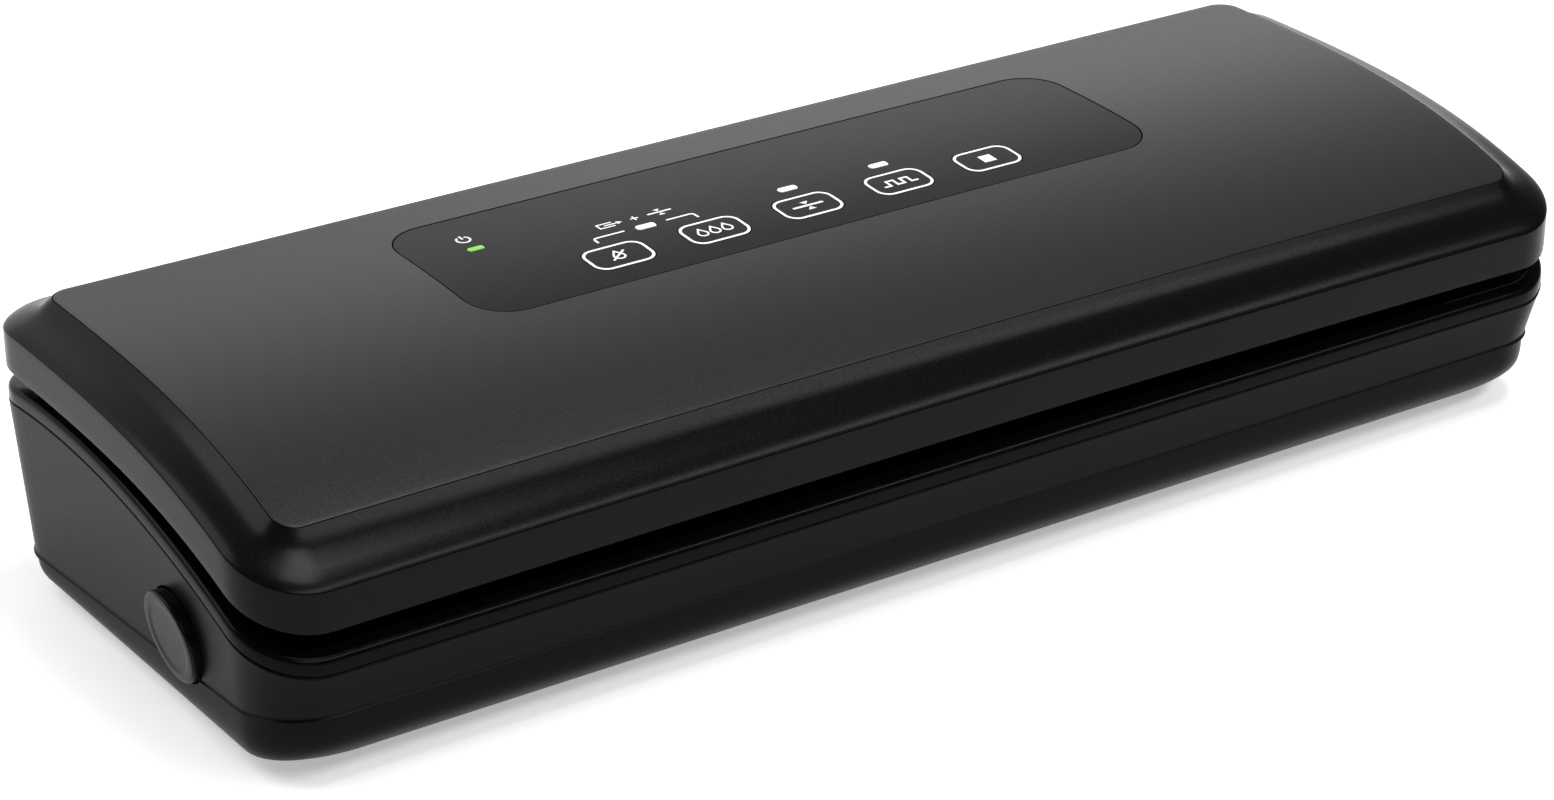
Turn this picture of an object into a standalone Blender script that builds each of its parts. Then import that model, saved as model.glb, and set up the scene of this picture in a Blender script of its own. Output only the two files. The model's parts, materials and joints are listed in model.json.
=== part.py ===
"""Countertop vacuum sealer: hinged lid, base, side release latches, sealing bar and pump.

Meshes are drawn in millimetres and become metres when they are finished.
X runs along the body, the front faces -Y and Z = 0 is the table.
Most lid and deck pieces are drawn flat, at heights counted from the cambered surface
that they belong to, and are then bent onto it.
"""
from math import cos, pi, sin

import bmesh
import bpy
from mathutils import Matrix, Vector

MM = 0.001
GAP = 0.3

# Body outline seen from above
HALF_LENGTH = 190
HALF_DEPTH = 70
CORNER_RADIUS = 17.3

# Height over the table as a cubic in y / 100: level, slope, bow, twist
LID_CAMBER = (72.5, 7.89, -15.86, 10.48)
RIM_CAMBER = (53.22, 13.07, -21.18, -0.33)
LID_CROWN = 1.38
RIM_CROWN = 0.42
BEND_STEPS_X = [-142.5, -95, -47.5, 0, 47.5, 95, 142.5]
BEND_STEPS_Y = [-52.5, -35, -17.5, 0, 17.5, 35, 52.5]

# Lid, as insets from the outline and depths below the lid surface
LID_WALL = 2.4
LID_HEIGHT = 15.56
PLATE_INSET = 12
PLATE_THICKNESS = 2.6
SKIN_THICKNESS = 2.4
LINER_TOP = -11
LINER_BOTTOM = -13
LINER_REAR = 52

# Control panel on the top plate
OVERLAY = (-98.0, 100.5, -9.3, 43.3)
OVERLAY_RADIUS = 11
OVERLAY_POCKET = 1.5
OVERLAY_THICKNESS = 1.15
OVERLAY_SINK = 0.05
KEY_NAMES = ("key_dry", "key_moist", "key_seal", "key_pulse", "key_stop")
KEY_PITCH = 27.4
KEY_CENTRE = (0.4, 3.3)
KEY_SIZE = (17.2, 11.4)
KEY_RADIUS = 3.8
KEY_THICKNESS = 0.9
KEY_GAP = 0.25
LAMPS = {
    "lamp_power": (-81.3, 24.7, 4.4, 2.0),
    "lamp_mode": (-40.1, 13.8, 5.4, 2.3),
    "lamp_seal": (1.6, 14.1, 5.4, 2.3),
    "lamp_pulse": (29.2, 14.2, 5.4, 2.3),
}

# Hinge along the rear edge
HINGE_Y = 62.5
HINGE_Z = 62
HINGE_X = 120
PIN_RADIUS = 1.5
BORE_RADIUS = 1.8

# Base
PARTING = 4.1
LIGHT_LINE_INSET = 2.4
LIGHT_LINE_FRONT = 18.3
LIGHT_LINE_FALL = 9.7
FLOOR_Z = 2.0
FLOOR_THICKNESS = 3.0
FLOOR_INSET = 16
TUB_FULLNESS = 0.55
WELL = (-152, 152, -39, -11)
WELL_WALL = 2
WELL_DEPTH = 19
NOZZLE = (157.5, -14)
SCREW_X, SCREW_Y = 160, 44
LID_SCREWS = {"lid_screw_1": (-150, -61.5), "lid_screw_2": (150, -61.5),
              "lid_screw_3": (-150, 40), "lid_screw_4": (150, 40)}

# Release latch, drawn for the right end and mirrored for the left
BUTTON_Y, BUTTON_Z = -24.5, 23.8
BUTTON_FACE_X = 191.0
BUTTON_RADIUS = 11.2
BUTTON_SLANT = 0.16
BUTTON_HOLE_GAP = 0.5
STEM_RADIUS, STEM_END_X = 3, 168.7
FLANGE_RADIUS = 12.8
FLANGE_X = (179.4, 180.9)
SPRING_RADIUS, SPRING_WIRE = 4.6, 0.35
SPRING_LENGTH, SPRING_TURNS = 2.1, 2
LEVER_X, LEVER_Z = 166.5, 14
GUIDE_X = (171, 173)

# Pump and mains inlet
PUMP_Y, PUMP_Z = 28, 24
INLET = (129.2, 150.8, 20.2, 33.8)


def camber(coefficients, y):
    """Height of a cambered surface at depth y, before its crown."""
    level, slope, bow, twist = coefficients
    t = y / 100
    return level + slope * t + bow * t ** 2 + twist * t ** 3


def crown(x, y):
    """Rise of the middle: 1 at the front edge's centre, 0 at both ends and at the hinge."""
    across = 1 - (x / HALF_LENGTH) ** 2
    toward_front = min(max((60 - y) / 120, 0), 1.1)
    return across * toward_front


def lid_surface(x, y):
    """Top of the lid plate."""
    return camber(LID_CAMBER, y) + LID_CROWN * crown(x, y)


def rim_surface(x, y):
    """Top of the base's rim."""
    return camber(RIM_CAMBER, y) + RIM_CROWN * crown(x, y)


def rounded_rectangle(x_low, x_high, y_low, y_high, radius, arc_steps=5, long_steps=1, short_steps=1):
    """Anticlockwise outline with arcs at its corners and evenly divided sides."""
    centres = ((x_high - radius, y_low + radius, -pi / 2), (x_high - radius, y_high - radius, 0),
               (x_low + radius, y_high - radius, pi / 2), (x_low + radius, y_low + radius, pi))
    arcs = []
    for x, y, start in centres:
        angles = [start + pi / 2 * step / arc_steps for step in range(arc_steps + 1)]
        arcs.append([(x + radius * cos(a), y + radius * sin(a)) for a in angles])
    points = []
    for corner, arc in enumerate(arcs):
        points += arc
        ahead = arcs[(corner + 1) % 4][0]
        steps = short_steps if corner % 2 == 0 else long_steps
        for step in range(1, steps):
            share = step / steps
            points.append((arc[-1][0] * (1 - share) + ahead[0] * share,
                           arc[-1][1] * (1 - share) + ahead[1] * share))
    return points


def body_outline(inset, radius, long_steps=1, short_steps=1):
    """The body's plan outline, moved inward."""
    return rounded_rectangle(inset - HALF_LENGTH, HALF_LENGTH - inset, inset - HALF_DEPTH, HALF_DEPTH - inset,
                             radius, long_steps=long_steps, short_steps=short_steps)


def at_height(outline, height):
    """Points of a plan outline, raised to a number or to height(x, y)."""
    if callable(height):
        return [Vector((x, y, height(x, y))) for x, y in outline]
    return [Vector((x, y, height)) for x, y in outline]


def loft(loops, closed=False):
    """Solid through loops of equally many points; a closed loft joins its last loop to its first."""
    bm = bmesh.new()
    rings = [[bm.verts.new(point) for point in loop] for loop in loops]
    pairs = list(zip(rings, rings[1:]))
    if closed:
        pairs.append((rings[-1], rings[0]))
    else:
        bm.faces.new(rings[0])
        bm.faces.new(rings[-1])
    for near, far in pairs:
        for index in range(len(near)):
            ahead = (index + 1) % len(near)
            bm.faces.new((near[index], near[ahead], far[ahead], far[index]))
    bmesh.ops.recalc_face_normals(bm, faces=bm.faces)
    return bm


def prism(outline, low, high):
    """Upright solid over a plan outline."""
    return loft([at_height(outline, low), at_height(outline, high)])


def box(x_low, x_high, y_low, y_high, z_low, z_high):
    """Axis-aligned block."""
    corners = [(x_low, y_low), (x_high, y_low), (x_high, y_high), (x_low, y_high)]
    return prism(corners, z_low, z_high)


def side_prism(outline, y_low, y_high):
    """Solid drawn as an (x, z) outline and extruded along Y."""
    return loft([[Vector((x, y, z)) for x, z in outline] for y in (y_low, y_high)])


def turned(profile, centre, axis, sides=20, closed=False):
    """Round solid from (radius, distance along the axis) pairs, with axis one of X, Y or Z."""
    frames = {"X": ((0, 1, 0), (0, 0, 1), (1, 0, 0)), "Y": ((0, 0, 1), (1, 0, 0), (0, 1, 0)),
              "Z": ((1, 0, 0), (0, 1, 0), (0, 0, 1))}
    across, up, along = (Vector(direction) for direction in frames[axis])
    loops = []
    for radius, distance in profile:
        angles = [2 * pi * (side + 0.5) / sides for side in range(sides)]
        loops.append([Vector(centre) + along * distance + (across * cos(a) + up * sin(a)) * radius
                      for a in angles])
    return loft(loops, closed)


def rod(radius, low, high, centre, axis, sides=20):
    """Plain round bar between two distances along its axis."""
    return turned([(radius, low), (radius, high)], centre, axis, sides)


def sweep(points, radius, sides=8):
    """Round bar that follows a path."""
    loops = []
    side = Vector((0, 0, 1))
    for index, point in enumerate(points):
        before = points[max(index - 1, 0)]
        after = points[min(index + 1, len(points) - 1)]
        along = (after - before).normalized()
        side = (side - along * side.dot(along)).normalized()
        if side.length < 0.5:
            side = along.orthogonal().normalized()
        other = along.cross(side)
        angles = [2 * pi * k / sides for k in range(sides)]
        loops.append([point + (side * cos(a) + other * sin(a)) * radius for a in angles])
    return loft(loops)


def combine(body, tool, operation):
    """Boolean of two closed meshes, with operation UNION or DIFFERENCE."""
    scratch = []
    for bm in (body, tool):
        mesh = bpy.data.meshes.new("scratch")
        bm.to_mesh(mesh)
        bm.free()
        scratch.append(bpy.data.objects.new("scratch", mesh))
        bpy.context.collection.objects.link(scratch[-1])
    modifier = scratch[0].modifiers.new("combine", "BOOLEAN")
    modifier.operation = operation
    modifier.object = scratch[1]
    result = bmesh.new()
    result.from_object(scratch[0], bpy.context.evaluated_depsgraph_get())
    for scratch_object in scratch:
        mesh = scratch_object.data
        bpy.data.objects.remove(scratch_object)
        bpy.data.meshes.remove(mesh)
    return result


def add(body, *tools):
    """Join closed meshes to a body."""
    for tool in tools:
        body = combine(body, tool, "UNION")
    return body


def cut(body, *tools):
    """Cut closed meshes out of a body."""
    for tool in tools:
        body = combine(body, tool, "DIFFERENCE")
    return body


def bend(bm, surface):
    """Divide a flat-drawn solid by the bend grid and raise it onto a cambered surface."""
    for steps, direction in ((BEND_STEPS_X, Vector((1, 0, 0))), (BEND_STEPS_Y, Vector((0, 1, 0)))):
        for step in steps:
            everything = bm.verts[:] + bm.edges[:] + bm.faces[:]
            bmesh.ops.bisect_plane(bm, geom=everything, plane_co=direction * step, plane_no=direction,
                                   dist=0.0001)
    bmesh.ops.remove_doubles(bm, verts=bm.verts, dist=0.0005)
    bmesh.ops.triangulate(bm, faces=bm.faces)
    for vert in bm.verts:
        vert.co.z += surface(vert.co.x, vert.co.y)
    return bm


def make_material(name, colour, roughness, metallic=0.0):
    """Principled material in one colour."""
    material = bpy.data.materials.new(name)
    material.use_nodes = True
    shader = material.node_tree.nodes["Principled BSDF"]
    shader.inputs["Base Color"].default_value = (*colour, 1)
    shader.inputs["Roughness"].default_value = roughness
    shader.inputs["Metallic"].default_value = metallic
    material.diffuse_color = (*colour, 1)
    return material


def make_axis(name, position, parent=None):
    """Empty on a joint axis, which moving pieces are parented to."""
    axis = bpy.data.objects.new(name, None)
    axis["world_mm"] = position
    start = Vector(parent["world_mm"]) if parent else Vector((0, 0, 0))
    axis.location = (Vector(position) - start) * MM
    axis.parent = parent
    bpy.context.collection.objects.link(axis)
    return axis


def make_piece(name, bm, material, parent=None):
    """Finish one sub-part: metres, its own material, its origin on its parent's axis."""
    origin = Vector(parent["world_mm"]) if parent else Vector((0, 0, 0))
    bm.transform(Matrix.Scale(MM, 4) @ Matrix.Translation(-origin))
    bmesh.ops.dissolve_degenerate(bm, edges=bm.edges, dist=1e-7)
    bmesh.ops.triangulate(bm, faces=bm.faces)
    mesh = bpy.data.meshes.new(name)
    bm.to_mesh(mesh)
    bm.free()
    mesh.materials.append(material)
    mesh.shade_smooth()
    mesh.set_sharp_from_angle(angle=pi / 6)
    piece = bpy.data.objects.new(name, mesh)
    piece.parent = parent
    bpy.context.collection.objects.link(piece)
    return piece


def mirrored(bm, side):
    """The same solid at the right end (side 1) or mirrored to the left end (side -1)."""
    if side < 0:
        bm.transform(Matrix.Diagonal((-1, 1, 1, 1)))
        bmesh.ops.reverse_faces(bm, faces=bm.faces)
    return bm


def lid_shell():
    """Outer lid moulding: plate seat, cove, shoulder and side band, open underneath."""
    seat = PLATE_THICKNESS + GAP
    inner = seat + SKIN_THICKNESS
    section = [(PLATE_INSET - GAP, -seat), (PLATE_INSET - GAP, -0.4), (10.6, -1.7), (9, -2.3), (7.2, -2.2),
               (4.6, -2.8), (2, -4), (0.5, -4.9), (0, -5.6), (0, 0.3 - LID_HEIGHT), (0.3, -LID_HEIGHT),
               (LID_WALL, -LID_HEIGHT), (LID_WALL, -7.6), (4.6, -inner)]
    shell = loft([at_height(body_outline(inset, CORNER_RADIUS - inset), z) for inset, z in section])
    for x, y in LID_SCREWS.values():
        boss = rod(3.6, LINER_TOP + GAP, 0.5 - inner, (x, y, 0), "Z", 12)
        bore = rod(1.7, LINER_TOP - 1, -6.4, (x, y, 0), "Z", 12)
        shell = cut(add(shell, boss), bore)
    shell = bend(shell, lid_surface)
    skin = camber(LID_CAMBER, HINGE_Y) - 4
    for side in (-1, 1):
        for offset in (-4, 4):
            x = side * HINGE_X + offset
            lug = box(x - 1.4, x + 1.4, HINGE_Y - 3.4, HINGE_Y + 3.4, HINGE_Z - 3.4, skin)
            shell = add(shell, lug)
        bore = rod(BORE_RADIUS, -7, 7, (side * HINGE_X, HINGE_Y, HINGE_Z), "X", 12)
        slot = box(side * HINGE_X - 2.5, side * HINGE_X + 2.5, HINGE_Y + 4, HALF_DEPTH + 2,
                   HINGE_Z - 6, HINGE_Z + 3.6)
        shell = cut(shell, bore, slot)
    return shell


def lid_top_plate():
    """Satin plate in the lid's seat, with a pocket for the control overlay."""
    outline = body_outline(PLATE_INSET, CORNER_RADIUS - PLATE_INSET)
    plate = prism(outline, -PLATE_THICKNESS, 0)
    x_low, x_high, y_low, y_high = OVERLAY
    pocket = rounded_rectangle(x_low - GAP, x_high + GAP, y_low - GAP, y_high + GAP, OVERLAY_RADIUS + GAP)
    return bend(cut(plate, prism(pocket, -OVERLAY_POCKET, 1)), lid_surface)


def key_outline(index, grow=0.0):
    """Rounded outline of one of the five keys."""
    x = KEY_CENTRE[0] + (index - 2) * KEY_PITCH
    half_width, half_depth = KEY_SIZE[0] / 2 + grow, KEY_SIZE[1] / 2 + grow
    return rounded_rectangle(x - half_width, x + half_width, KEY_CENTRE[1] - half_depth,
                             KEY_CENTRE[1] + half_depth, KEY_RADIUS + grow, arc_steps=4)


def lamp_outline(name, grow=0.0):
    """Rounded outline of one indicator lamp's lens."""
    x, y, width, depth = LAMPS[name]
    return rounded_rectangle(x - width / 2 - grow, x + width / 2 + grow, y - depth / 2 - grow,
                             y + depth / 2 + grow, depth / 3 + grow, arc_steps=3)


def control_overlay():
    """Panel skin over the rear half of the plate, pierced for keys and lamps."""
    top, bottom = -OVERLAY_SINK, -OVERLAY_SINK - OVERLAY_THICKNESS
    overlay = prism(rounded_rectangle(*OVERLAY, OVERLAY_RADIUS), bottom, top)
    for index in range(len(KEY_NAMES)):
        overlay = cut(overlay, prism(key_outline(index, KEY_GAP), bottom - 1, top + 1))
    for name in LAMPS:
        overlay = cut(overlay, prism(lamp_outline(name, KEY_GAP), bottom - 1, top + 1))
    return bend(overlay, lid_surface)


def lid_liner():
    """Underside cover of the lid: ceiling of the chamber, which carries the seals."""
    inset = LID_WALL + GAP
    outline = rounded_rectangle(inset - HALF_LENGTH, HALF_LENGTH - inset, inset - HALF_DEPTH, LINER_REAR, 14.6)
    liner = prism(outline, LINER_BOTTOM, LINER_TOP)
    for x, y in LID_SCREWS.values():
        liner = cut(liner, rod(1.9, LINER_BOTTOM - 1, LINER_TOP + 1, (x, y, 0), "Z", 12))
    return bend(liner, lid_surface)


def lid_screw(x, y):
    """Pan-head screw that holds the liner."""
    head = LINER_BOTTOM - GAP
    profile = [(1.6, head - 1.5), (2.9, head - 0.9), (2.9, head), (1.3, head), (1.3, -6.8)]
    return bend(turned(profile, (x, y, 0), "Z", 12), lid_surface)


def seal_ring(low, high):
    """Foam gasket loop round the vacuum channel, between two surfaces."""
    outer = rounded_rectangle(-171, 171, -46, -3, 12, long_steps=8, short_steps=2)
    inner = rounded_rectangle(-164.5, 164.5, -40.5, -8.5, 6, long_steps=8, short_steps=2)
    loops = [at_height(outer, low), at_height(outer, high), at_height(inner, high), at_height(inner, low)]
    return loft(loops, closed=True)


def chamber_floor(x, y):
    """Where the lower gasket stands: just over the deck."""
    return rim_surface(x, y) - 2.5 + GAP


def chamber_ceiling(x, y):
    """Where the upper gasket starts: just under the liner."""
    return lid_surface(x, y) + LINER_BOTTOM - GAP


def seal_meeting(x, y):
    """Half way between the two gasket seats, where the lid's foam rests on the base's."""
    return (chamber_floor(x, y) + chamber_ceiling(x, y)) / 2


def lid_hook():
    """Latch hook that hangs from the liner at the right end."""
    flange, end = LINER_BOTTOM - GAP, -28.8
    outline = [(185, flange), (176, flange), (176, flange - 1.6), (178.5, flange - 1.6), (178.5, end + 2.8),
               (176, end + 2.8), (176, end + 1), (178, end), (181, end), (181, flange - 1.6), (185, flange - 1.6)]
    return bend(side_prism(outline, BUTTON_Y - 4, BUTTON_Y + 4), lid_surface)


def base_deck():
    """Top of the base: glossy rim, tray well, hook slots, screw posts and hinge ears."""
    section = [(5, -2.5), (3.8, -0.3), (2.8, 0), (1.4, 0), (0.4, -0.5), (0, -1.5), (0, -3.7), (3.6, -3.7),
               (3.6, -5)]
    deck = loft([at_height(body_outline(inset, CORNER_RADIUS - inset), z) for inset, z in section])
    x_low, x_high, y_low, y_high = WELL
    deck = add(deck, prism(rounded_rectangle(*WELL, 8), -WELL_DEPTH, -4))
    pocket = rounded_rectangle(x_low + WELL_WALL, x_high - WELL_WALL, y_low + WELL_WALL, y_high - WELL_WALL, 6)
    deck = cut(deck, prism(pocket, WELL_WALL - WELL_DEPTH, 1))
    deck = cut(deck, rod(3.3, -8, 1, (*NOZZLE, 0), "Z", 12))
    for side in (-1, 1):
        slot = sorted((side * 174.3, side * 183.4))
        deck = cut(deck, box(*slot, BUTTON_Y - 7.5, BUTTON_Y + 6, -8, 1))
        for y in (-SCREW_Y, SCREW_Y):
            low = FLOOR_Z + FLOOR_THICKNESS + 2.2 - rim_surface(side * SCREW_X, y)
            deck = add(deck, rod(4, low, -4, (side * SCREW_X, y, 0), "Z", 12))
            deck = cut(deck, rod(1.7, low - 1, low + 14, (side * SCREW_X, y, 0), "Z", 12))
    deck = bend(deck, rim_surface)
    for side in (-1, 1):
        x = side * HINGE_X
        foot = rim_surface(x, HINGE_Y) - 4
        ear = [(HINGE_Y - 5.5, foot), (HINGE_Y + 2.4, foot), (HINGE_Y + 3.4, HINGE_Z), (HINGE_Y + 2, HINGE_Z + 3),
               (HINGE_Y - 2, HINGE_Z + 3), (HINGE_Y - 3.4, HINGE_Z)]
        ear_solid = loft([[Vector((level, y, z)) for y, z in ear] for level in (x - 2, x + 2)])
        deck = add(deck, ear_solid)
        deck = cut(deck, rod(BORE_RADIUS, -4, 4, (x, HINGE_Y, HINGE_Z), "X", 12))
    return deck


def light_line(x, y):
    """Height of the fine moulded step round the base, which falls to the rear."""
    return LIGHT_LINE_FRONT - LIGHT_LINE_FALL * (y + HALF_DEPTH) / (2 * HALF_DEPTH)


def tub_level(inset_low, inset_high, floor, drop, share):
    """Inset and height rule of one level of the tub's rounded lower part, share 0 at the step.

    The section is a superellipse: a fullness of 1 is a quarter ellipse, less is squarer.
    """
    inward = 1 - max(cos(pi / 2 * share), 0) ** TUB_FULLNESS
    down = 1 - sin(pi / 2 * share) ** TUB_FULLNESS
    inset = inset_low + (inset_high - inset_low) * inward

    def height(x, y):
        return floor + (light_line(x, y) - drop - floor) * down
    return inset, height


def base_housing():
    """Tub below the parting line, with button holes, inlet opening, guides and lever posts."""
    def parting(x, y):
        return rim_surface(x, y) - PARTING

    def loops(levels, radius):
        return [at_height(body_outline(inset, radius, 8, 8), height) for inset, height in levels]

    shares = [step / 5 for step in range(6)]
    outer = [tub_level(LIGHT_LINE_INSET + 0.7, FLOOR_INSET, FLOOR_Z, 0.4, share) for share in reversed(shares)]
    outer += [(LIGHT_LINE_INSET, light_line), (0, parting)]
    inner_floor = FLOOR_Z + FLOOR_THICKNESS
    inner = [(LID_WALL, parting)]
    inner += [tub_level(7.5, FLOOR_INSET, inner_floor, 0, share) for share in shares]
    tub = loft(loops(outer, 17) + loops(inner, 15))
    for side in (-1, 1):
        x_low, x_high = sorted((side * 180, side * 195))
        tub = cut(tub, rod(BUTTON_RADIUS + BUTTON_HOLE_GAP, x_low, x_high, (0, BUTTON_Y, BUTTON_Z), "X", 24))
        guide = mirrored(box(*GUIDE_X, BUTTON_Y - 6, BUTTON_Y + 6, 4.4, 32), side)
        tub = cut(add(tub, guide), rod(STEM_RADIUS + 0.4, *sorted((side * 169, side * 175)), (0, BUTTON_Y, BUTTON_Z), "X", 12))
        for offset in (-6.5, 6.5):
            y = BUTTON_Y + offset
            post = mirrored(box(LEVER_X - 3, LEVER_X + 3, y - 1.2, y + 1.2, 3.8, LEVER_Z + 3.5), side)
            tub = add(tub, post)
        tub = cut(tub, rod(BORE_RADIUS, BUTTON_Y - 9, BUTTON_Y + 9, (side * LEVER_X, 0, LEVER_Z), "Y", 12))
        for y in (-SCREW_Y, SCREW_Y):
            recess = turned([(3.7, 0), (3.7, FLOOR_Z + 1.2), (1.9, FLOOR_Z + 1.2), (1.9, 7)],
                            (side * SCREW_X, y, 0), "Z", 12)
            tub = cut(tub, recess)
    x_low, x_high, z_low, z_high = INLET
    opening = box(x_low - GAP, x_high + GAP, 60, 75, z_low - GAP, z_high + GAP)
    return cut(tub, opening)


def base_screw(x, y):
    """Screw from below, through the tub into a deck post."""
    profile = [(2.4, FLOOR_Z - 0.2), (3.3, FLOOR_Z + 0.2), (3.3, FLOOR_Z + 0.9), (1.4, FLOOR_Z + 0.9), (1.4, 17)]
    return turned(profile, (x, y, 0), "Z", 12)


def foot():
    """Rubber foot."""
    return [(6.4, 0), (7, 0.6), (7, FLOOR_Z - GAP)]


def drip_tray():
    """Lift-out tray in the well."""
    x_low, x_high, y_low, y_high = WELL
    side = WELL_WALL + 0.6

    def tray_loop(inset, radius, z):
        outline = rounded_rectangle(x_low + inset, x_high - inset, y_low + inset, y_high - inset, radius)
        return at_height(outline, z)

    top, bottom = -2.8, WELL_WALL - WELL_DEPTH + 0.4
    loops = [tray_loop(side + 1, 4.4, bottom), tray_loop(side, 5.4, bottom + 1), tray_loop(side, 5.4, top),
             tray_loop(side + 1.4, 4, top), tray_loop(side + 1.4, 4, bottom + 2.4),
             tray_loop(side + 2.4, 3, bottom + 1.4)]
    return bend(loft(loops), rim_surface)


def bar(half_length, half_width, low, high):
    """Straight strip along the sealing line, at heights from the rim surface."""
    return bend(box(-half_length, half_length, -52 - half_width, half_width - 52, low, high), rim_surface)


def release_button():
    """Round button at the right end: cap slanted like the wall, retaining flange and stem."""
    face, (flange, collar) = BUTTON_FACE_X, FLANGE_X
    profile = [(STEM_RADIUS, STEM_END_X), (STEM_RADIUS, flange), (FLANGE_RADIUS, flange), (FLANGE_RADIUS, collar),
               (BUTTON_RADIUS, collar), (BUTTON_RADIUS, face - 1), (BUTTON_RADIUS - 0.4, face - 0.3),
               (BUTTON_RADIUS - 1.2, face)]
    button = turned(profile, (0, BUTTON_Y, BUTTON_Z), "X", 24)
    for vert in button.verts:
        if vert.co.x > collar + 1:
            vert.co.x += BUTTON_SLANT * (vert.co.z - BUTTON_Z)
    return button


def button_spring():
    """Return spring round the stem, drawn at its pressed length."""
    steps = 12
    start = GUIDE_X[1] + GAP + SPRING_WIRE
    points = []
    for step in range(SPRING_TURNS * steps + 1):
        angle = 2 * pi * step / steps
        x = start + SPRING_LENGTH * step / (SPRING_TURNS * steps)
        points.append(Vector((x, BUTTON_Y + SPRING_RADIUS * cos(angle), BUTTON_Z + SPRING_RADIUS * sin(angle))))
    return sweep(points, SPRING_WIRE, 5)


def latch_lever():
    """Lever that the stem pushes; its arm reaches out under the lid hook's tooth."""
    x, z = LEVER_X, LEVER_Z
    outline = [(x - 1.5, z - 3), (x + 1.5, z - 3), (x + 3, z - 1), (x + 3, z + 2), (x + 1.5, z + 4), (x + 1.5, 35.4),
               (178.6, 35.4), (178.6, 36.8), (176.6, 38.6), (x - 1.5, 38.6), (x - 1.5, z + 4), (x - 3, z + 2),
               (x - 3, z - 1)]
    lever = side_prism(outline, BUTTON_Y - 4.8, BUTTON_Y + 4.8)
    return cut(lever, rod(BORE_RADIUS, BUTTON_Y - 6, BUTTON_Y + 6, (x, 0, z), "Y", 12))


def suction_nozzle():
    """Tube that draws the air out of the chamber through the deck."""
    top = rim_surface(*NOZZLE) - 1.5
    profile = [(1.5, 28), (3, 28), (3, top + GAP), (4.2, top + GAP), (4.2, top + 1.4), (1.5, top + 1.4)]
    return turned(profile, (*NOZZLE, 0), "Z", 12, closed=True)


def pump_motor():
    """Motor can with its end bosses, axis along X."""
    profile = [(4, -124), (4, -121), (13, -121), (15, -119), (15, -82), (13, -80.4)]
    return turned(profile, (0, PUMP_Y, PUMP_Z), "X", 24)


def pump_crank():
    """Shaft and eccentric weight that the motor turns."""
    centre = (0, PUMP_Y, PUMP_Z)
    shaft = rod(2, -80, -66, centre, "X", 12)
    weight = rod(7, -73.5, -68, (0, PUMP_Y, PUMP_Z - 2.5), "X", 16)
    return add(shaft, weight)


def pump_head():
    """Diaphragm head on a frame round the crank, with two hose ports."""
    y, z = PUMP_Y, PUMP_Z
    frame = box(-79.6, -55, y - 16, y + 16, 6, 42)
    window = box(-76.6, -61, y - 20, y + 20, z - 11, z + 13)
    head = cut(frame, window, rod(2.4, -82, -70, (0, y, z), "X", 12))
    dome = turned([(15, -56), (15, -49), (12, -46)], (0, y, z), "X", 20)
    head = add(head, dome)
    for offset in (-7, 7):
        head = add(head, rod(2.6, -47, -40, (0, y + offset, z), "X", 10))
    return head


def release_valve():
    """Solenoid valve with two hose ports."""
    body = box(60, 80, 10, 30, 5.6, 27)
    body = add(body, rod(7, 26, 38, (70, 20, 0), "Z", 16))
    return add(body, rod(2.6, 52, 61, (0, 20, 18), "X", 10), rod(2.6, 79, 86, (0, 20, 18), "X", 10))


def smooth_path(corners, steps=5):
    """Points along a path whose corners are rounded by quadratic curves."""
    corners = [Vector(corner) for corner in corners]
    path = [corners[0]]
    for before, corner, after in zip(corners, corners[1:], corners[2:]):
        start, end = (before + corner) / 2, (corner + after) / 2
        for step in range(steps + 1):
            t = step / steps
            path.append(start * (1 - t) ** 2 + corner * 2 * t * (1 - t) + end * t ** 2)
    path.append(corners[-1])
    return [point for index, point in enumerate(path) if index == 0 or (point - path[index - 1]).length > 0.5]


def transformer_core():
    """Laminated core with two windows for the coil."""
    core = box(96, 112, 26, 54, 5.6, 41)
    return cut(core, box(90, 120, 29, 35, 10, 36), box(90, 120, 45, 51, 10, 36))


def transformer_coil():
    """Coil round the core's middle leg."""
    outer = [(90, 29.4), (118, 29.4), (118, 50.6), (90, 50.6)]
    inner = [(95.6, 34.6), (112.4, 34.6), (112.4, 45.4), (95.6, 45.4)]
    loops = [at_height(outer, 10.4), at_height(outer, 35.6), at_height(inner, 35.6), at_height(inner, 10.4)]
    return loft(loops, closed=True)


def power_board():
    """Circuit board with its relay, capacitor and heat sink."""
    board = box(-34, 40, -4, 58, 9, 10.6)
    board = add(board, box(-28, -8, 38, 54, 10.4, 26), rod(6, 10.4, 32, (8, 46, 0), "Z", 12))
    return add(board, box(20, 36, 30, 33, 10.4, 34), box(-28, -12, 2, 12, 10.4, 20))


def mains_inlet():
    """Two-pole appliance inlet in the rear wall."""
    x_low, x_high, z_low, z_high = INLET
    wall_y = 67.8
    inlet = box(x_low, x_high, 46, wall_y, z_low, z_high)
    middle_x, middle_z = (x_low + x_high) / 2, (z_low + z_high) / 2
    cavity = rounded_rectangle(middle_x - 8.6, middle_x + 8.6, middle_z - 4.6, middle_z + 4.6, 4.4, arc_steps=4)
    inlet = cut(inlet, loft([[Vector((x, y, z)) for x, z in cavity] for y in (52, wall_y + 2)]))
    for offset in (-4.3, 4.3):
        inlet = add(inlet, rod(1.2, 51, 63, (middle_x + offset, 0, middle_z), "Y", 8))
    return inlet


def lid_switch():
    """Microswitch that feels the lid, beside the right-hand latch."""
    switch = box(166, 173, -6, 12, 24, 36)
    return add(switch, box(168, 171, 4, 8, 35, 38.5))


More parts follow.
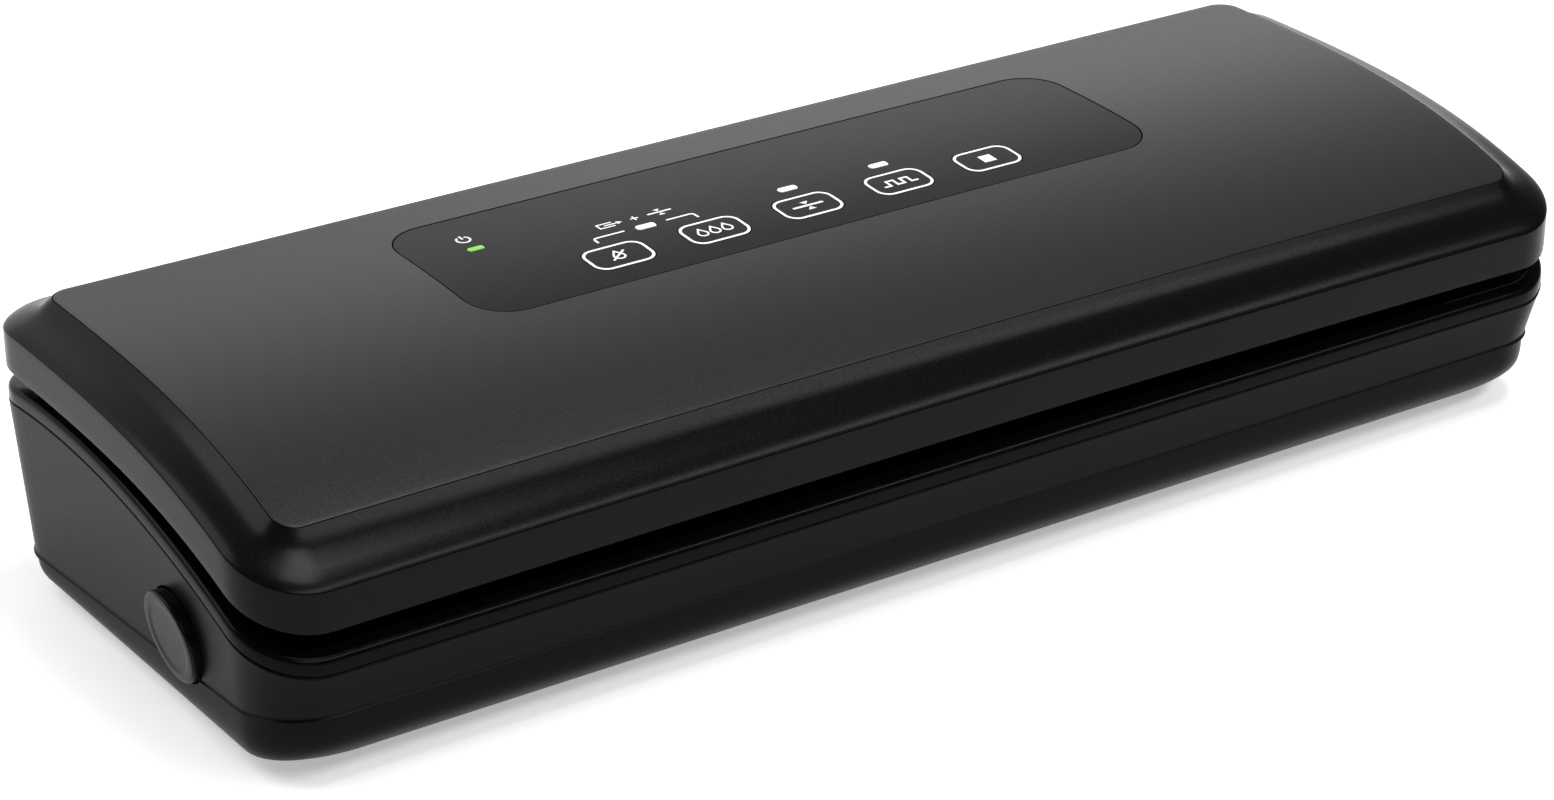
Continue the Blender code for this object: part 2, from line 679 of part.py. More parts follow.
def build_lid(finish):
    """Every piece that turns with the lid."""
    hinge = make_axis("lid_hinge_axis", (0, HINGE_Y, HINGE_Z))
    make_piece("lid_shell", lid_shell(), finish["lid_plastic"], hinge)
    make_piece("lid_top_plate", lid_top_plate(), finish["plate_satin"], hinge)
    make_piece("control_overlay", control_overlay(), finish["overlay_film"], hinge)
    make_piece("lid_liner", lid_liner(), finish["liner_plastic"], hinge)
    make_piece("lid_gasket", seal_ring(lambda x, y: seal_meeting(x, y) + GAP / 2, chamber_ceiling),
               finish["seal_foam"], hinge)
    strip = box(-157, 157, -55, -49, LINER_BOTTOM - 4.7, LINER_BOTTOM - GAP)
    make_piece("lid_pressure_strip", bend(strip, lid_surface), finish["silicone"], hinge)
    board = box(-100, 100, -6, 40, LINER_TOP + GAP, LINER_TOP + 1.9)
    make_piece("lid_circuit_board", bend(board, lid_surface), finish["circuit_board"], hinge)
    for name, (x, y) in LID_SCREWS.items():
        make_piece(name, lid_screw(x, y), finish["steel"], hinge)
    for name in LAMPS:
        lens = prism(lamp_outline(name), -OVERLAY_THICKNESS, 0)
        slot = "lamp_green" if name == "lamp_power" else "lamp_white"
        make_piece(name, bend(lens, lid_surface), finish[slot], hinge)
    for index, name in enumerate(KEY_NAMES):
        x, y = KEY_CENTRE[0] + (index - 2) * KEY_PITCH, KEY_CENTRE[1]
        key_axis = make_axis(name + "_axis", (x, y, lid_surface(x, y)), hinge)
        key = prism(key_outline(index), -OVERLAY_SINK - KEY_THICKNESS, -OVERLAY_SINK)
        make_piece(name, bend(key, lid_surface), finish["overlay_film"], key_axis)
    for side, name in ((-1, "left"), (1, "right")):
        make_piece("lid_hook_" + name, mirrored(lid_hook(), side), finish["liner_plastic"], hinge)


def build_base(finish):
    """Casing, chamber and feet."""
    make_piece("base_deck", base_deck(), finish["deck_plastic"])
    make_piece("base_housing", base_housing(), finish["base_plastic"])
    make_piece("chamber_gasket", seal_ring(chamber_floor, lambda x, y: seal_meeting(x, y) - GAP / 2),
               finish["seal_foam"])
    make_piece("drip_tray", drip_tray(), finish["tray_plastic"])
    make_piece("heater_bar", bar(160, 3.5, GAP - 2.5, 1.2), finish["bakelite"])
    make_piece("heating_strip", bar(156, 1.2, 1.5, 2), finish["steel"])
    make_piece("sealing_tape", bar(157, 2.6, 2.3, 2.7), finish["sealing_cloth"])
    make_piece("suction_nozzle", suction_nozzle(), finish["liner_plastic"])
    for index, (x, y) in enumerate(((-1, -1), (1, -1), (1, 1), (-1, 1)), start=1):
        make_piece(f"foot_{index}", turned(foot(), (140 * x, 41 * y, 0), "Z"), finish["rubber"])
        make_piece(f"base_screw_{index}", base_screw(SCREW_X * x, SCREW_Y * y), finish["steel"])
    for side, name in ((-1, "left"), (1, "right")):
        pin = turned([(PIN_RADIUS, -6), (PIN_RADIUS, 6)], (side * HINGE_X, HINGE_Y, HINGE_Z), "X", 12)
        make_piece("hinge_pin_" + name, pin, finish["steel"])


def build_latch(finish, side, name):
    """Release button, spring and lever of one end."""
    button_axis = make_axis(f"release_{name}_axis", (side * BUTTON_FACE_X, BUTTON_Y, BUTTON_Z))
    lever_axis = make_axis(f"lever_{name}_axis", (side * LEVER_X, BUTTON_Y, LEVER_Z))
    make_piece("release_button_" + name, mirrored(release_button(), side), finish["button_plastic"], button_axis)
    make_piece("button_spring_" + name, mirrored(button_spring(), side), finish["steel"])
    make_piece("latch_lever_" + name, mirrored(latch_lever(), side), finish["liner_plastic"], lever_axis)
    pin = rod(PIN_RADIUS, BUTTON_Y - 8.5, BUTTON_Y + 8.5, (side * LEVER_X, 0, LEVER_Z), "Y", 12)
    make_piece("lever_pin_" + name, pin, finish["steel"])


def build_works(finish):
    """Pump, valve, hoses, transformer, board, switch and inlet inside the base."""
    pump_axis = make_axis("pump_axis", (-80, PUMP_Y, PUMP_Z))
    make_piece("pump_motor", pump_motor(), finish["steel"])
    make_piece("pump_crank", pump_crank(), finish["steel"], pump_axis)
    make_piece("pump_head", pump_head(), finish["liner_plastic"])
    make_piece("release_valve", release_valve(), finish["liner_plastic"])
    pump_port = (-39.7, PUMP_Y - 7, PUMP_Z)
    path = smooth_path([pump_port, (-28, PUMP_Y - 7, PUMP_Z), (-14, 22, 38), (30, 22, 38), (42, 20, 18), (51.7, 20, 18)])
    make_piece("pump_hose", sweep(path, 2.4), finish["silicone"])
    path = smooth_path([(86.3, 20, 18), (97, 20, 18), (122, 12, 12), (NOZZLE[0], 4, 12), (*NOZZLE, 12),
                        (*NOZZLE, 27.7)])
    make_piece("nozzle_hose", sweep(path, 2.4), finish["silicone"])
    make_piece("transformer_core", transformer_core(), finish["steel"])
    make_piece("transformer_coil", transformer_coil(), finish["copper"])
    make_piece("power_board", power_board(), finish["circuit_board"])
    make_piece("mains_inlet", mains_inlet(), finish["liner_plastic"])
    make_piece("lid_switch", lid_switch(), finish["liner_plastic"])


def main():
    """Build the sealer in an emptied scene."""
    for old in list(bpy.data.objects):
        bpy.data.objects.remove(old)
    finish = {
        "lid_plastic": make_material("lid_plastic", (0.018, 0.018, 0.019), 0.28),
        "plate_satin": make_material("plate_satin", (0.055, 0.055, 0.057), 0.42),
        "overlay_film": make_material("overlay_film", (0.032, 0.032, 0.034), 0.35),
        "deck_plastic": make_material("deck_plastic", (0.016, 0.016, 0.017), 0.22),
        "base_plastic": make_material("base_plastic", (0.022, 0.022, 0.023), 0.4),
        "button_plastic": make_material("button_plastic", (0.024, 0.024, 0.025), 0.4),
        "liner_plastic": make_material("liner_plastic", (0.03, 0.03, 0.031), 0.5),
        "tray_plastic": make_material("tray_plastic", (0.05, 0.05, 0.052), 0.45),
        "seal_foam": make_material("seal_foam", (0.04, 0.04, 0.042), 0.9),
        "silicone": make_material("silicone", (0.25, 0.25, 0.26), 0.6),
        "sealing_cloth": make_material("sealing_cloth", (0.28, 0.16, 0.07), 0.55),
        "bakelite": make_material("bakelite", (0.07, 0.04, 0.03), 0.5),
        "rubber": make_material("rubber", (0.02, 0.02, 0.02), 0.8),
        "circuit_board": make_material("circuit_board", (0.02, 0.12, 0.05), 0.5),
        "copper": make_material("copper", (0.6, 0.26, 0.13), 0.35, 1.0),
        "steel": make_material("steel", (0.45, 0.45, 0.46), 0.35, 1.0),
        "lamp_white": make_material("lamp_white", (0.85, 0.85, 0.83), 0.3),
        "lamp_green": make_material("lamp_green", (0.2, 0.7, 0.08), 0.3),
    }
    build_lid(finish)
    build_base(finish)
    for side, name in ((-1, "left"), (1, "right")):
        build_latch(finish, side, name)
    build_works(finish)


main()
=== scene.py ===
"""Looks of the countertop vacuum sealer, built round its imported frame.

Pieces are drawn in millimetres and become metres when they are finished. X runs along the body,
the front faces -Y and Z = 0 is the table. Lid and deck pieces are drawn flat, at heights counted
from the cambered surface that they belong to, and are then bent onto it.
"""
import json
import logging
from collections.abc import Callable, Sequence
from dataclasses import dataclass, field
from enum import Enum
from math import cos, pi, sin, tan
from typing import Any

import bmesh
import bpy
from mathutils import Matrix, Vector
from mathutils.geometry import delaunay_2d_cdt


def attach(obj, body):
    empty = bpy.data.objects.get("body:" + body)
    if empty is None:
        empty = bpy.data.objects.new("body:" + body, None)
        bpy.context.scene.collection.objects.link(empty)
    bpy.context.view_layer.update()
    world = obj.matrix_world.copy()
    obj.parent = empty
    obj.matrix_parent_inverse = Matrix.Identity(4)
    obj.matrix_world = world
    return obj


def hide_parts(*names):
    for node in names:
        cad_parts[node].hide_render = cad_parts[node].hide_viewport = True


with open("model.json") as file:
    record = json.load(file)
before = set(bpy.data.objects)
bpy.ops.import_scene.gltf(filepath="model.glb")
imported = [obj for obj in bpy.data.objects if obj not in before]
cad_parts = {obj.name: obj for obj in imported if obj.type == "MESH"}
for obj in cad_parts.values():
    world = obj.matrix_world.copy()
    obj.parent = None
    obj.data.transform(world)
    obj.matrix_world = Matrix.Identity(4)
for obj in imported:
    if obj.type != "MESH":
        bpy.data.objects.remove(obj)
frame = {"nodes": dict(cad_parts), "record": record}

LOG = logging.getLogger("sealer")
MM = 0.001
# Hinge axis in millimetres: half the distance between the two hinges, then its depth and height
HINGE = (120.0, 62.5, 62.0)
# Points closer than this are one, and shorter edges are dropped, in millimetres
WELD = 0.0008
SPECK = 0.0004

Flat = tuple[float, float]
Height = float | Callable[[float, float], float]


def linear(code: str) -> tuple[float, float, float, float]:
    """Turn an sRGB hex code into linear colour.

    Args:
        code: Six hex digits, such as "2b2b2d".

    Returns:
        Linear red, green, blue and an alpha of 1.
    """
    shares = [int(code[place:place + 2], 16) / 255 for place in (0, 2, 4)]
    red, green, blue = (c / 12.92 if c <= 0.04045 else ((c + 0.055) / 1.055) ** 2.4 for c in shares)
    return red, green, blue, 1.0


def add_node(tree: bpy.types.NodeTree, kind: str, inputs: dict[int | str, Any] | None = None,
             **settings: Any) -> bpy.types.Node:
    """Add one node with its settings, values and links.

    Args:
        tree: Node tree that gets the node.
        kind: Blender's name of the node type.
        inputs: Values, or sockets to link from, by input name or number.
        **settings: Properties of the node.

    Returns:
        The new node.
    """
    node = tree.nodes.new(kind)
    for name, value in settings.items():
        setattr(node, name, value)
    for key, value in (inputs or {}).items():
        if isinstance(value, bpy.types.NodeSocket):
            tree.links.new(value, node.inputs[key])
        else:
            node.inputs[key].default_value = value
    return node


# ---------------------------------------------------------------- finishes


# A brushed pattern is this much longer than wide; a wave texture holds this many bands in a unit
BRUSH_STRETCH = 0.03
WAVE_BANDS = 6.3
# Steps of detail in the noise: a mould's grain is broken up, and a polished or brushed face is smoother
GRAIN_DETAIL, BRUSH_DETAIL, POLISH_DETAIL = 5, 3, 1


class Pattern(Enum):
    """How a surface was made, which decides its fine relief."""

    MOULDED = "spark-eroded grain of a mould"
    POLISHED = "polished mould with a faint waviness"
    SPRAYED = "sprayed satin coat with fine flake"
    BRUSHED = "brushed or drawn along X"
    CELLS = "closed foam cells"
    WOVEN = "plain weave"
    STACKED = "stacked sheets or wound wire"


@dataclass(frozen=True)
class Finish:
    """A real material and its surface.

    Relief and colour both come from one pattern in Object coordinates, whose size is in millimetres.
    """

    name: str
    colour: str
    shade: str
    roughness: float
    pattern: Pattern
    grain: float
    relief: float
    metallic: float = 0.0
    spread: float = 0.06
    specular: float = 0.5
    glow: float = 0.0

    def grain_value(self, tree: bpy.types.NodeTree) -> bpy.types.NodeSocket:
        """Add the nodes of the pattern.

        Args:
            tree: The material's node tree.

        Returns:
            Socket of the pattern's value, about 0 to 1.
        """
        place = add_node(tree, "ShaderNodeTexCoord").outputs["Object"]
        fine = 1 / (self.grain * MM)
        if self.pattern is Pattern.CELLS:
            return add_node(tree, "ShaderNodeTexVoronoi", {"Vector": place, "Scale": fine}).outputs["Distance"]
        if self.pattern is Pattern.BRUSHED:
            stretched = add_node(tree, "ShaderNodeMapping", {"Vector": place, "Scale": (BRUSH_STRETCH, 1, 1)})
            return add_node(tree, "ShaderNodeTexNoise", {"Vector": stretched.outputs[0], "Scale": fine,
                                                         "Detail": BRUSH_DETAIL}).outputs[0]
        if self.pattern in (Pattern.WOVEN, Pattern.STACKED):
            values = {"Vector": place, "Scale": fine / WAVE_BANDS, "Distortion": 0.2}
            bands = [add_node(tree, "ShaderNodeTexWave", values, bands_direction=axis).outputs["Fac"]
                     for axis in ("X", "Y")]
            if self.pattern is Pattern.STACKED:
                return bands[0]
            return add_node(tree, "ShaderNodeMath", dict(enumerate(bands)), operation="MULTIPLY").outputs[0]
        detail = POLISH_DETAIL if self.pattern is Pattern.POLISHED else GRAIN_DETAIL
        return add_node(tree, "ShaderNodeTexNoise", {"Vector": place, "Scale": fine, "Detail": detail,
                                                     "Roughness": 0.6}).outputs[0]

    def build(self) -> bpy.types.Material:
        """Make the material, with constants set on the shader's own sockets."""
        material = bpy.data.materials.new(self.name)
        material.use_nodes = True
        tree = material.node_tree
        tree.nodes.clear()
        grain = self.grain_value(tree)
        # Sockets 6 and 7 are the two colours
        colours = {"Factor": grain, 6: linear(self.colour), 7: linear(self.shade)}
        mixed = add_node(tree, "ShaderNodeMix", colours, data_type="RGBA")
        low, high = max(self.roughness - self.spread, 0.02), min(self.roughness + self.spread, 1)
        rough = add_node(tree, "ShaderNodeMapRange", {"Value": grain, "From Min": 0.3, "From Max": 0.7,
                                                      "To Min": low, "To Max": high})
        bump = add_node(tree, "ShaderNodeBump", {"Height": grain, "Strength": 1.0,
                                                 "Distance": self.relief * MM})
        shader = add_node(tree, "ShaderNodeBsdfPrincipled",
                          {"Base Color": mixed.outputs[2], "Roughness": rough.outputs[0],
                           "Normal": bump.outputs[0], "Metallic": self.metallic,
                           "Specular IOR Level": self.specular})
        if self.glow:
            shader.inputs["Emission Color"].default_value = linear(self.shade)
            shader.inputs["Emission Strength"].default_value = self.glow
        add_node(tree, "ShaderNodeOutputMaterial", {"Surface": shader.outputs[0]})
        return material


# Every finish by the record's material slot. Grain sizes and relief are in millimetres.
FINISHES: dict[str, Finish] = {
    # Black ABS from a finely eroded mould: soft, slightly broken highlights
    "lid_plastic": Finish("moulded_abs_lid", "060607", "0a0a0b", 0.25, Pattern.MOULDED, 0.5, 0.006,
                          specular=0.08),
    # Graphite satin coat on sheet: fine flake, broad sheen towards the rear
    "plate_satin": Finish("satin_coated_plate", "0c0c0d", "252527", 0.34, Pattern.SPRAYED, 0.5, 0.03,
                          specular=0.25),
    # Polyester front film, printed dark behind: smoother than the plate
    "overlay_film": Finish("polyester_front_film", "0d0d0e", "0f0f10", 0.28, Pattern.POLISHED, 4.0, 0.002,
                           specular=0.075, spread=0.01),
    # Black ABS from a polished mould: sharp highlights on the rim
    "deck_plastic": Finish("polished_abs_deck", "050506", "070708", 0.2, Pattern.POLISHED, 3.0, 0.004,
                           specular=0.05),
    # Black ABS from a coarser eroded mould: even grey sheen
    "base_plastic": Finish("moulded_abs_base", "080809", "0c0c0d", 0.34, Pattern.MOULDED, 0.5, 0.010,
                           specular=0.05),
    # Black ABS, eroded mould: a little glossier than the tub round it
    "button_plastic": Finish("moulded_abs_button", "060607", "0a0a0b", 0.3, Pattern.MOULDED, 0.5, 0.008,
                             specular=0.09),
    # Charcoal ABS of the hidden covers: flat, plainly grained
    "liner_plastic": Finish("moulded_abs_liner", "222223", "2a2a2b", 0.45, Pattern.MOULDED, 0.6, 0.012),
    # Grey polypropylene: waxy, slightly cloudy
    "tray_plastic": Finish("moulded_polypropylene_tray", "3a3a3c", "424244", 0.42, Pattern.MOULDED, 0.7, 0.012),
    # Closed-cell neoprene foam: matt, pitted
    "seal_foam": Finish("neoprene_foam", "2b2b2c", "39393a", 0.92, Pattern.CELLS, 0.7, 0.10),
    # Moulded silicone: pale grey, dull and even
    "silicone": Finish("grey_silicone", "8a8a88", "969694", 0.55, Pattern.MOULDED, 0.8, 0.01),
    # Glass cloth soaked in PTFE: brown, woven, waxy
    "sealing_cloth": Finish("ptfe_glass_cloth", "8a6238", "a67a48", 0.42, Pattern.WOVEN, 0.6, 0.05),
    # Pressed phenolic resin: dark brown, faintly mottled
    "bakelite": Finish("pressed_bakelite", "3a261d", "46302a", 0.45, Pattern.MOULDED, 1.2, 0.01),
    # Moulded rubber feet: nearly black and dry
    "rubber": Finish("moulded_rubber", "191919", "232323", 0.75, Pattern.MOULDED, 0.6, 0.03),
    # Glass laminate under green solder resist: glossy over its copper lines
    "circuit_board": Finish("solder_resist_board", "14502c", "1c6338", 0.35, Pattern.STACKED, 2.5, 0.03),
    # Wound enamelled wire: a ridge and a dark groove for each turn
    "copper": Finish("enamelled_copper_wire", "b06a3c", "7c4524", 0.3, Pattern.STACKED, 0.8, 0.10,
                     metallic=1.0),
    # Drawn steel: fine lines along its length
    "steel": Finish("drawn_steel", "b4b4b6", "9c9c9f", 0.3, Pattern.BRUSHED, 0.25, 0.006, metallic=1.0),
    # Diffusing polycarbonate lens: white, faintly lit
    "lamp_white": Finish("diffusing_lens_white", "e4e4e0", "f2f2ee", 0.35, Pattern.POLISHED, 1.5, 0.004,
                         glow=0.25),
    # Diffusing polycarbonate lens with its lamp on: green
    "lamp_green": Finish("diffusing_lens_green", "6fae3e", "5fa52e", 0.3, Pattern.POLISHED, 1.0, 0.004,
                         glow=0.55),
}
# White screen ink: matt, slightly grainy at its edges, with a faint painted glow (emission) that makes the print
# brighter than the light on it
INK_WITH_PAINTED_GLOW = Finish("white_screen_ink_painted_glow", "e2e2df", "f0f0ed", 0.5, Pattern.SPRAYED, 0.3, 0.003, glow=0.12)


class Palette:
    """Materials made once and looked up by slot."""

    def __init__(self) -> None:
        """Start with nothing made."""
        self.made: dict[str, bpy.types.Material] = {}

    def of(self, finish: Finish) -> bpy.types.Material:
        """Give a finish's material, made at its first use."""
        if finish.name not in self.made:
            self.made[finish.name] = finish.build()
        return self.made[finish.name]

    def slot(self, name: str) -> bpy.types.Material:
        """Give the material of one of the record's slots."""
        return self.of(FINISHES[name])


PALETTE = Palette()


# ---------------------------------------------------------------- drawing


@dataclass(frozen=True)
class Outline:
    """Rounded rectangle with evenly divided sides."""

    x_low: float
    x_high: float
    y_low: float
    y_high: float
    radius: float
    arc_steps: int = 12
    long_steps: int = 76
    short_steps: int = 28

    def points(self, inset: float = 0.0, radius: float | None = None) -> list[Flat]:
        """Anticlockwise points.

        Args:
            inset: Distance inward.
            radius: Corner radius there, or None for concentric corners.

        Returns:
            As many points for any inset.
        """
        x_low, x_high = self.x_low + inset, self.x_high - inset
        y_low, y_high = self.y_low + inset, self.y_high - inset
        round_off = max(self.radius - inset, 0.2) if radius is None else radius
        left, right, front, rear = x_low + round_off, x_high - round_off, y_low + round_off, y_high - round_off
        centres = ((right, front, -pi / 2), (right, rear, 0), (left, rear, pi / 2), (left, front, pi))
        arcs = []
        for x, y, start in centres:
            angles = [start + pi / 2 * step / self.arc_steps for step in range(self.arc_steps + 1)]
            arcs.append([(x + round_off * cos(a), y + round_off * sin(a)) for a in angles])
        outline: list[Flat] = []
        for corner, arc in enumerate(arcs):
            outline += arc
            ahead = arcs[(corner + 1) % 4][0]
            steps = self.short_steps if corner % 2 == 0 else self.long_steps
            for step in range(1, steps):
                outline.append((arc[-1][0] + (ahead[0] - arc[-1][0]) * step / steps,
                                arc[-1][1] + (ahead[1] - arc[-1][1]) * step / steps))
        return outline

    def shrunk(self, inset: float, *steps: int) -> "Outline":
        """Smaller outline with concentric corners, and its own numbers of steps."""
        return Outline(self.x_low + inset, self.x_high - inset, self.y_low + inset, self.y_high - inset,
                       self.radius - inset, *steps)

    def spine(self, point: Flat) -> Flat:
        """Find where a point ends up when the outline shrinks to its middle line.

        Args:
            point: Point of the outline.

        Returns:
            The nearest point of the middle line.
        """
        half = min(self.x_high - self.x_low, self.y_high - self.y_low) / 2
        x = min(max(point[0], self.x_low + half), self.x_high - half)
        y = min(max(point[1], self.y_low + half), self.y_high - half)
        return x, y


# Plan of the whole body, which the lid and the base share
BODY = Outline(-190, 190, -70, 70, 17.3)


def between(start: Flat, end: Flat, share: float) -> Flat:
    """Give the point at a share of the way from start to end."""
    return start[0] + (end[0] - start[0]) * share, start[1] + (end[1] - start[1]) * share


def lift(outline: Sequence[Flat], height: Height) -> list[Vector]:
    """Raise plan points to a number or to height(x, y)."""
    return [Vector((x, y, height(x, y) if callable(height) else height)) for x, y in outline]


def rounded(corners: Sequence[tuple[float, float, float]], steps: int = 5) -> list[Flat]:
    """Open profile with curved corners.

    Args:
        corners: Each corner's two coordinates and its radius.
        steps: Pieces in each curve.

    Returns:
        Points of the profile.
    """
    points: list[Flat] = []
    for index, (u, v, radius) in enumerate(corners):
        here = Vector((u, v))
        if radius == 0 or index in (0, len(corners) - 1):
            points.append((u, v))
            continue
        back = Vector(corners[index - 1][:2]) - here
        ahead = Vector(corners[index + 1][:2]) - here
        reach = min(radius / tan(max(back.angle(ahead) / 2, 0.01)), 0.49 * back.length, 0.49 * ahead.length)
        start, end = here + back.normalized() * reach, here + ahead.normalized() * reach
        for step in range(steps + 1):
            t = step / steps
            curve = start * (1 - t) ** 2 + here * 2 * t * (1 - t) + end * t ** 2
            points.append((curve.x, curve.y))
    return points


def flowing(points: Sequence[Flat], steps: int = 4) -> list[Flat]:
    """Smooth curve through points, as a Catmull-Rom spline.

    Args:
        points: Points to pass through.
        steps: Pieces between two points.

    Returns:
        Points of the curve.
    """
    ends = [points[0], *points, points[-1]]
    curve: list[Flat] = []
    for four in zip(ends, ends[1:], ends[2:], ends[3:]):
        for step in range(steps):
            t = step / steps
            curve.append(tuple(0.5 * (2 * b + (c - a) * t + (2 * a - 5 * b + 4 * c - d) * t ** 2
                                      + (3 * b - a - 3 * c + d) * t ** 3) for a, b, c, d in zip(*four)))
    return [*curve, points[-1]]


def inside(point: Flat, polygon: Sequence[Flat]) -> bool:
    """Tell whether a point lies in a polygon.

    Args:
        point: The point.
        polygon: Corners of the polygon.

    Returns:
        True if it lies inside.
    """
    x, y = point
    hit = False
    for (x1, y1), (x2, y2) in zip(polygon, [*polygon[1:], polygon[0]]):
        if (y1 > y) != (y2 > y) and x < x1 + (x2 - x1) * (y - y1) / (y2 - y1):
            hit = not hit
    return hit


class Solid:
    """Closed mesh under construction, in millimetres."""

    def __init__(self) -> None:
        """Start empty."""
        self.bm = bmesh.new()

    def loft(self, loops: Sequence[Sequence[Vector]], closed: bool = False) -> "Solid":
        """Join loops of equally many points by quads.

        Args:
            loops: The loops in order.
            closed: Whether the last loop joins the first.

        Returns:
            The same solid.
        """
        rings = [[self.bm.verts.new(point) for point in loop] for loop in loops]
        pairs = list(zip(rings, rings[1:]))
        if closed:
            pairs.append((rings[-1], rings[0]))
        for near, far in pairs:
            for index, vert in enumerate(near):
                ahead = (index + 1) % len(near)
                self.bm.faces.new((vert, near[ahead], far[ahead], far[index]))
        return self

    def cap(self, outline: Outline, loop: Sequence[Flat], height: Height, steps: int = 8) -> "Solid":
        """Fill a loop by rings that shrink to the outline's middle line.

        Args:
            outline: Outline that the loop belongs to.
            loop: Points of the cap's edge.
            height: Level of the cap.
            steps: Rings in the cap.

        Returns:
            The same solid.
        """
        rings = []
        for step in range(steps + 1):
            t = step / steps
            rings.append(lift([between(point, outline.spine(point), t) for point in loop], height))
        return self.loft(rings)

    def region(self, outer: Sequence[Flat], holes: Sequence[Sequence[Flat]], height: Height,
               pitch: float) -> "Solid":
        """Fill a pierced plan area with even triangles.

        Args:
            outer: Outer edge.
            holes: Edges of the openings.
            height: Level of the area.
            pitch: Spacing of the grid inside.

        Returns:
            The same solid.
        """
        points: list[Vector] = []
        edges: list[tuple[int, int]] = []
        for loop in (outer, *holes):
            first = len(points)
            points += [Vector(point) for point in loop]
            edges += [(first + k, first + (k + 1) % len(loop)) for k in range(len(loop))]
        xs, ys = [x for x, _ in outer], [y for _, y in outer]
        near = pitch * 0.45
        edge_points = list(points)
        columns, rows = int((max(xs) - min(xs)) / pitch), int((max(ys) - min(ys)) / pitch)
        for column in range(1, columns):
            for row in range(1, rows):
                spot = Vector((min(xs) + (max(xs) - min(xs)) * column / columns,
                               min(ys) + (max(ys) - min(ys)) * row / rows))
                clear = all(abs(p.x - spot.x) > near or abs(p.y - spot.y) > near for p in edge_points)
                if clear and inside(spot[:], outer) and not any(inside(spot[:], hole) for hole in holes):
                    points.append(spot)
        flat, _, triangles, *_ = delaunay_2d_cdt(points, edges, [], 0, 1e-5)
        verts = [self.bm.verts.new(lift([(p.x, p.y)], height)[0]) for p in flat]
        for triangle in triangles:
            middle = sum((flat[k] for k in triangle), Vector((0, 0))) / 3
            if inside(middle[:], outer) and not any(inside(middle[:], hole) for hole in holes):
                self.bm.faces.new([verts[k] for k in triangle])
        return self

    def turned(self, profile: Sequence[Flat], centre: Sequence[float], axis: str, sides: int = 40) -> "Solid":
        """Round body, open only where a radius is left.

        Args:
            profile: Pairs of a radius and a distance along the axis.
            centre: Point that the distances start from.
            axis: X, Y or Z.
            sides: Sides of the round.

        Returns:
            The same solid.
        """
        frames = {"X": ((0, 1, 0), (0, 0, 1), (1, 0, 0)), "Y": ((0, 0, 1), (1, 0, 0), (0, 1, 0)),
                  "Z": ((1, 0, 0), (0, 1, 0), (0, 0, 1))}
        across, up, along = (Vector(direction) for direction in frames[axis])
        angles = [2 * pi * side / sides for side in range(sides)]
        return self.loft([[Vector(centre) + along * distance + (across * cos(a) + up * sin(a)) * radius
                           for a in angles] for radius, distance in profile])

    def block(self, near: Sequence[Vector], far: Sequence[Vector]) -> "Solid":
        """Block between two alike outlines, closed at both.

        Args:
            near: First outline.
            far: Second outline.

        Returns:
            The same solid.
        """
        self.loft([near, far])
        for loop in (near, far):
            self.bm.faces.new([self.bm.verts.new(point) for point in loop])
        return self

    def prism(self, outline: Sequence[Flat], low: float, high: float) -> "Solid":
        """Upright block over a small plan outline."""
        return self.block(lift(outline, low), lift(outline, high))

    def tablet(self, outline: Outline, low: float, high: float, soft: float, shoulder: float, rings: int,
               radius: float | None = None) -> "Solid":
        """Flat piece with a softened upper edge.

        Args:
            outline: Its plan.
            low: Level of its underside.
            high: Level of its top.
            soft: Radius of the edge.
            shoulder: Width of the edge zone.
            rings: Rings in the top's cap.
            radius: Corner radius, or None for concentric corners.

        Returns:
            The same solid.
        """
        edge = rounded([(0.0, low, 0), (0.0, high, soft), (shoulder, high, 0)], 4)
        self.loft([lift(outline.points(inset, radius), z) for inset, z in edge])
        self.cap(outline, outline.points(shoulder, radius), high, rings)
        return self.cap(outline, outline.points(0.0, radius), low, 1)

    def frame_prism(self, outer: Sequence[Flat], inner: Sequence[Flat], low: Height, high: Height) -> "Solid":
        """Upright band between two outlines of equally many points."""
        return self.loft([lift(outer, low), lift(outer, high), lift(inner, high), lift(inner, low)],
                         closed=True)

    def mapped(self, rule: Callable[[Vector], Vector]) -> "Solid":
        """Move every point by a rule."""
        for vert in self.bm.verts:
            vert.co = rule(vert.co)
        return self

    def mesh(self) -> bpy.types.Mesh:
        """Close doubles, turn the faces outward and give the mesh, still in millimetres."""
        bmesh.ops.remove_doubles(self.bm, verts=self.bm.verts, dist=WELD)
        bmesh.ops.dissolve_degenerate(self.bm, edges=self.bm.edges, dist=SPECK)
        bmesh.ops.recalc_face_normals(self.bm, faces=self.bm.faces)
        mesh = bpy.data.meshes.new("drawn")
        self.bm.to_mesh(mesh)
        self.bm.free()
        return mesh


def cut(body: bpy.types.Mesh, tool: bpy.types.Mesh) -> bpy.types.Mesh:
    """Cut one closed mesh out of another by an exact Boolean.

    Args:
        body: Mesh that is cut.
        tool: Mesh that cuts it.

    Returns:
        The result as a new mesh.
    """
    parts = [bpy.data.objects.new("part", mesh) for mesh in (body, tool)]
    for part in parts:
        bpy.context.collection.objects.link(part)
    modifier = parts[0].modifiers.new("cut", "BOOLEAN")
    modifier.operation = "DIFFERENCE"
    modifier.object = parts[1]
    result = bpy.data.meshes.new_from_object(parts[0].evaluated_get(bpy.context.evaluated_depsgraph_get()))
    for part in parts:
        bpy.data.objects.remove(part)
    return result


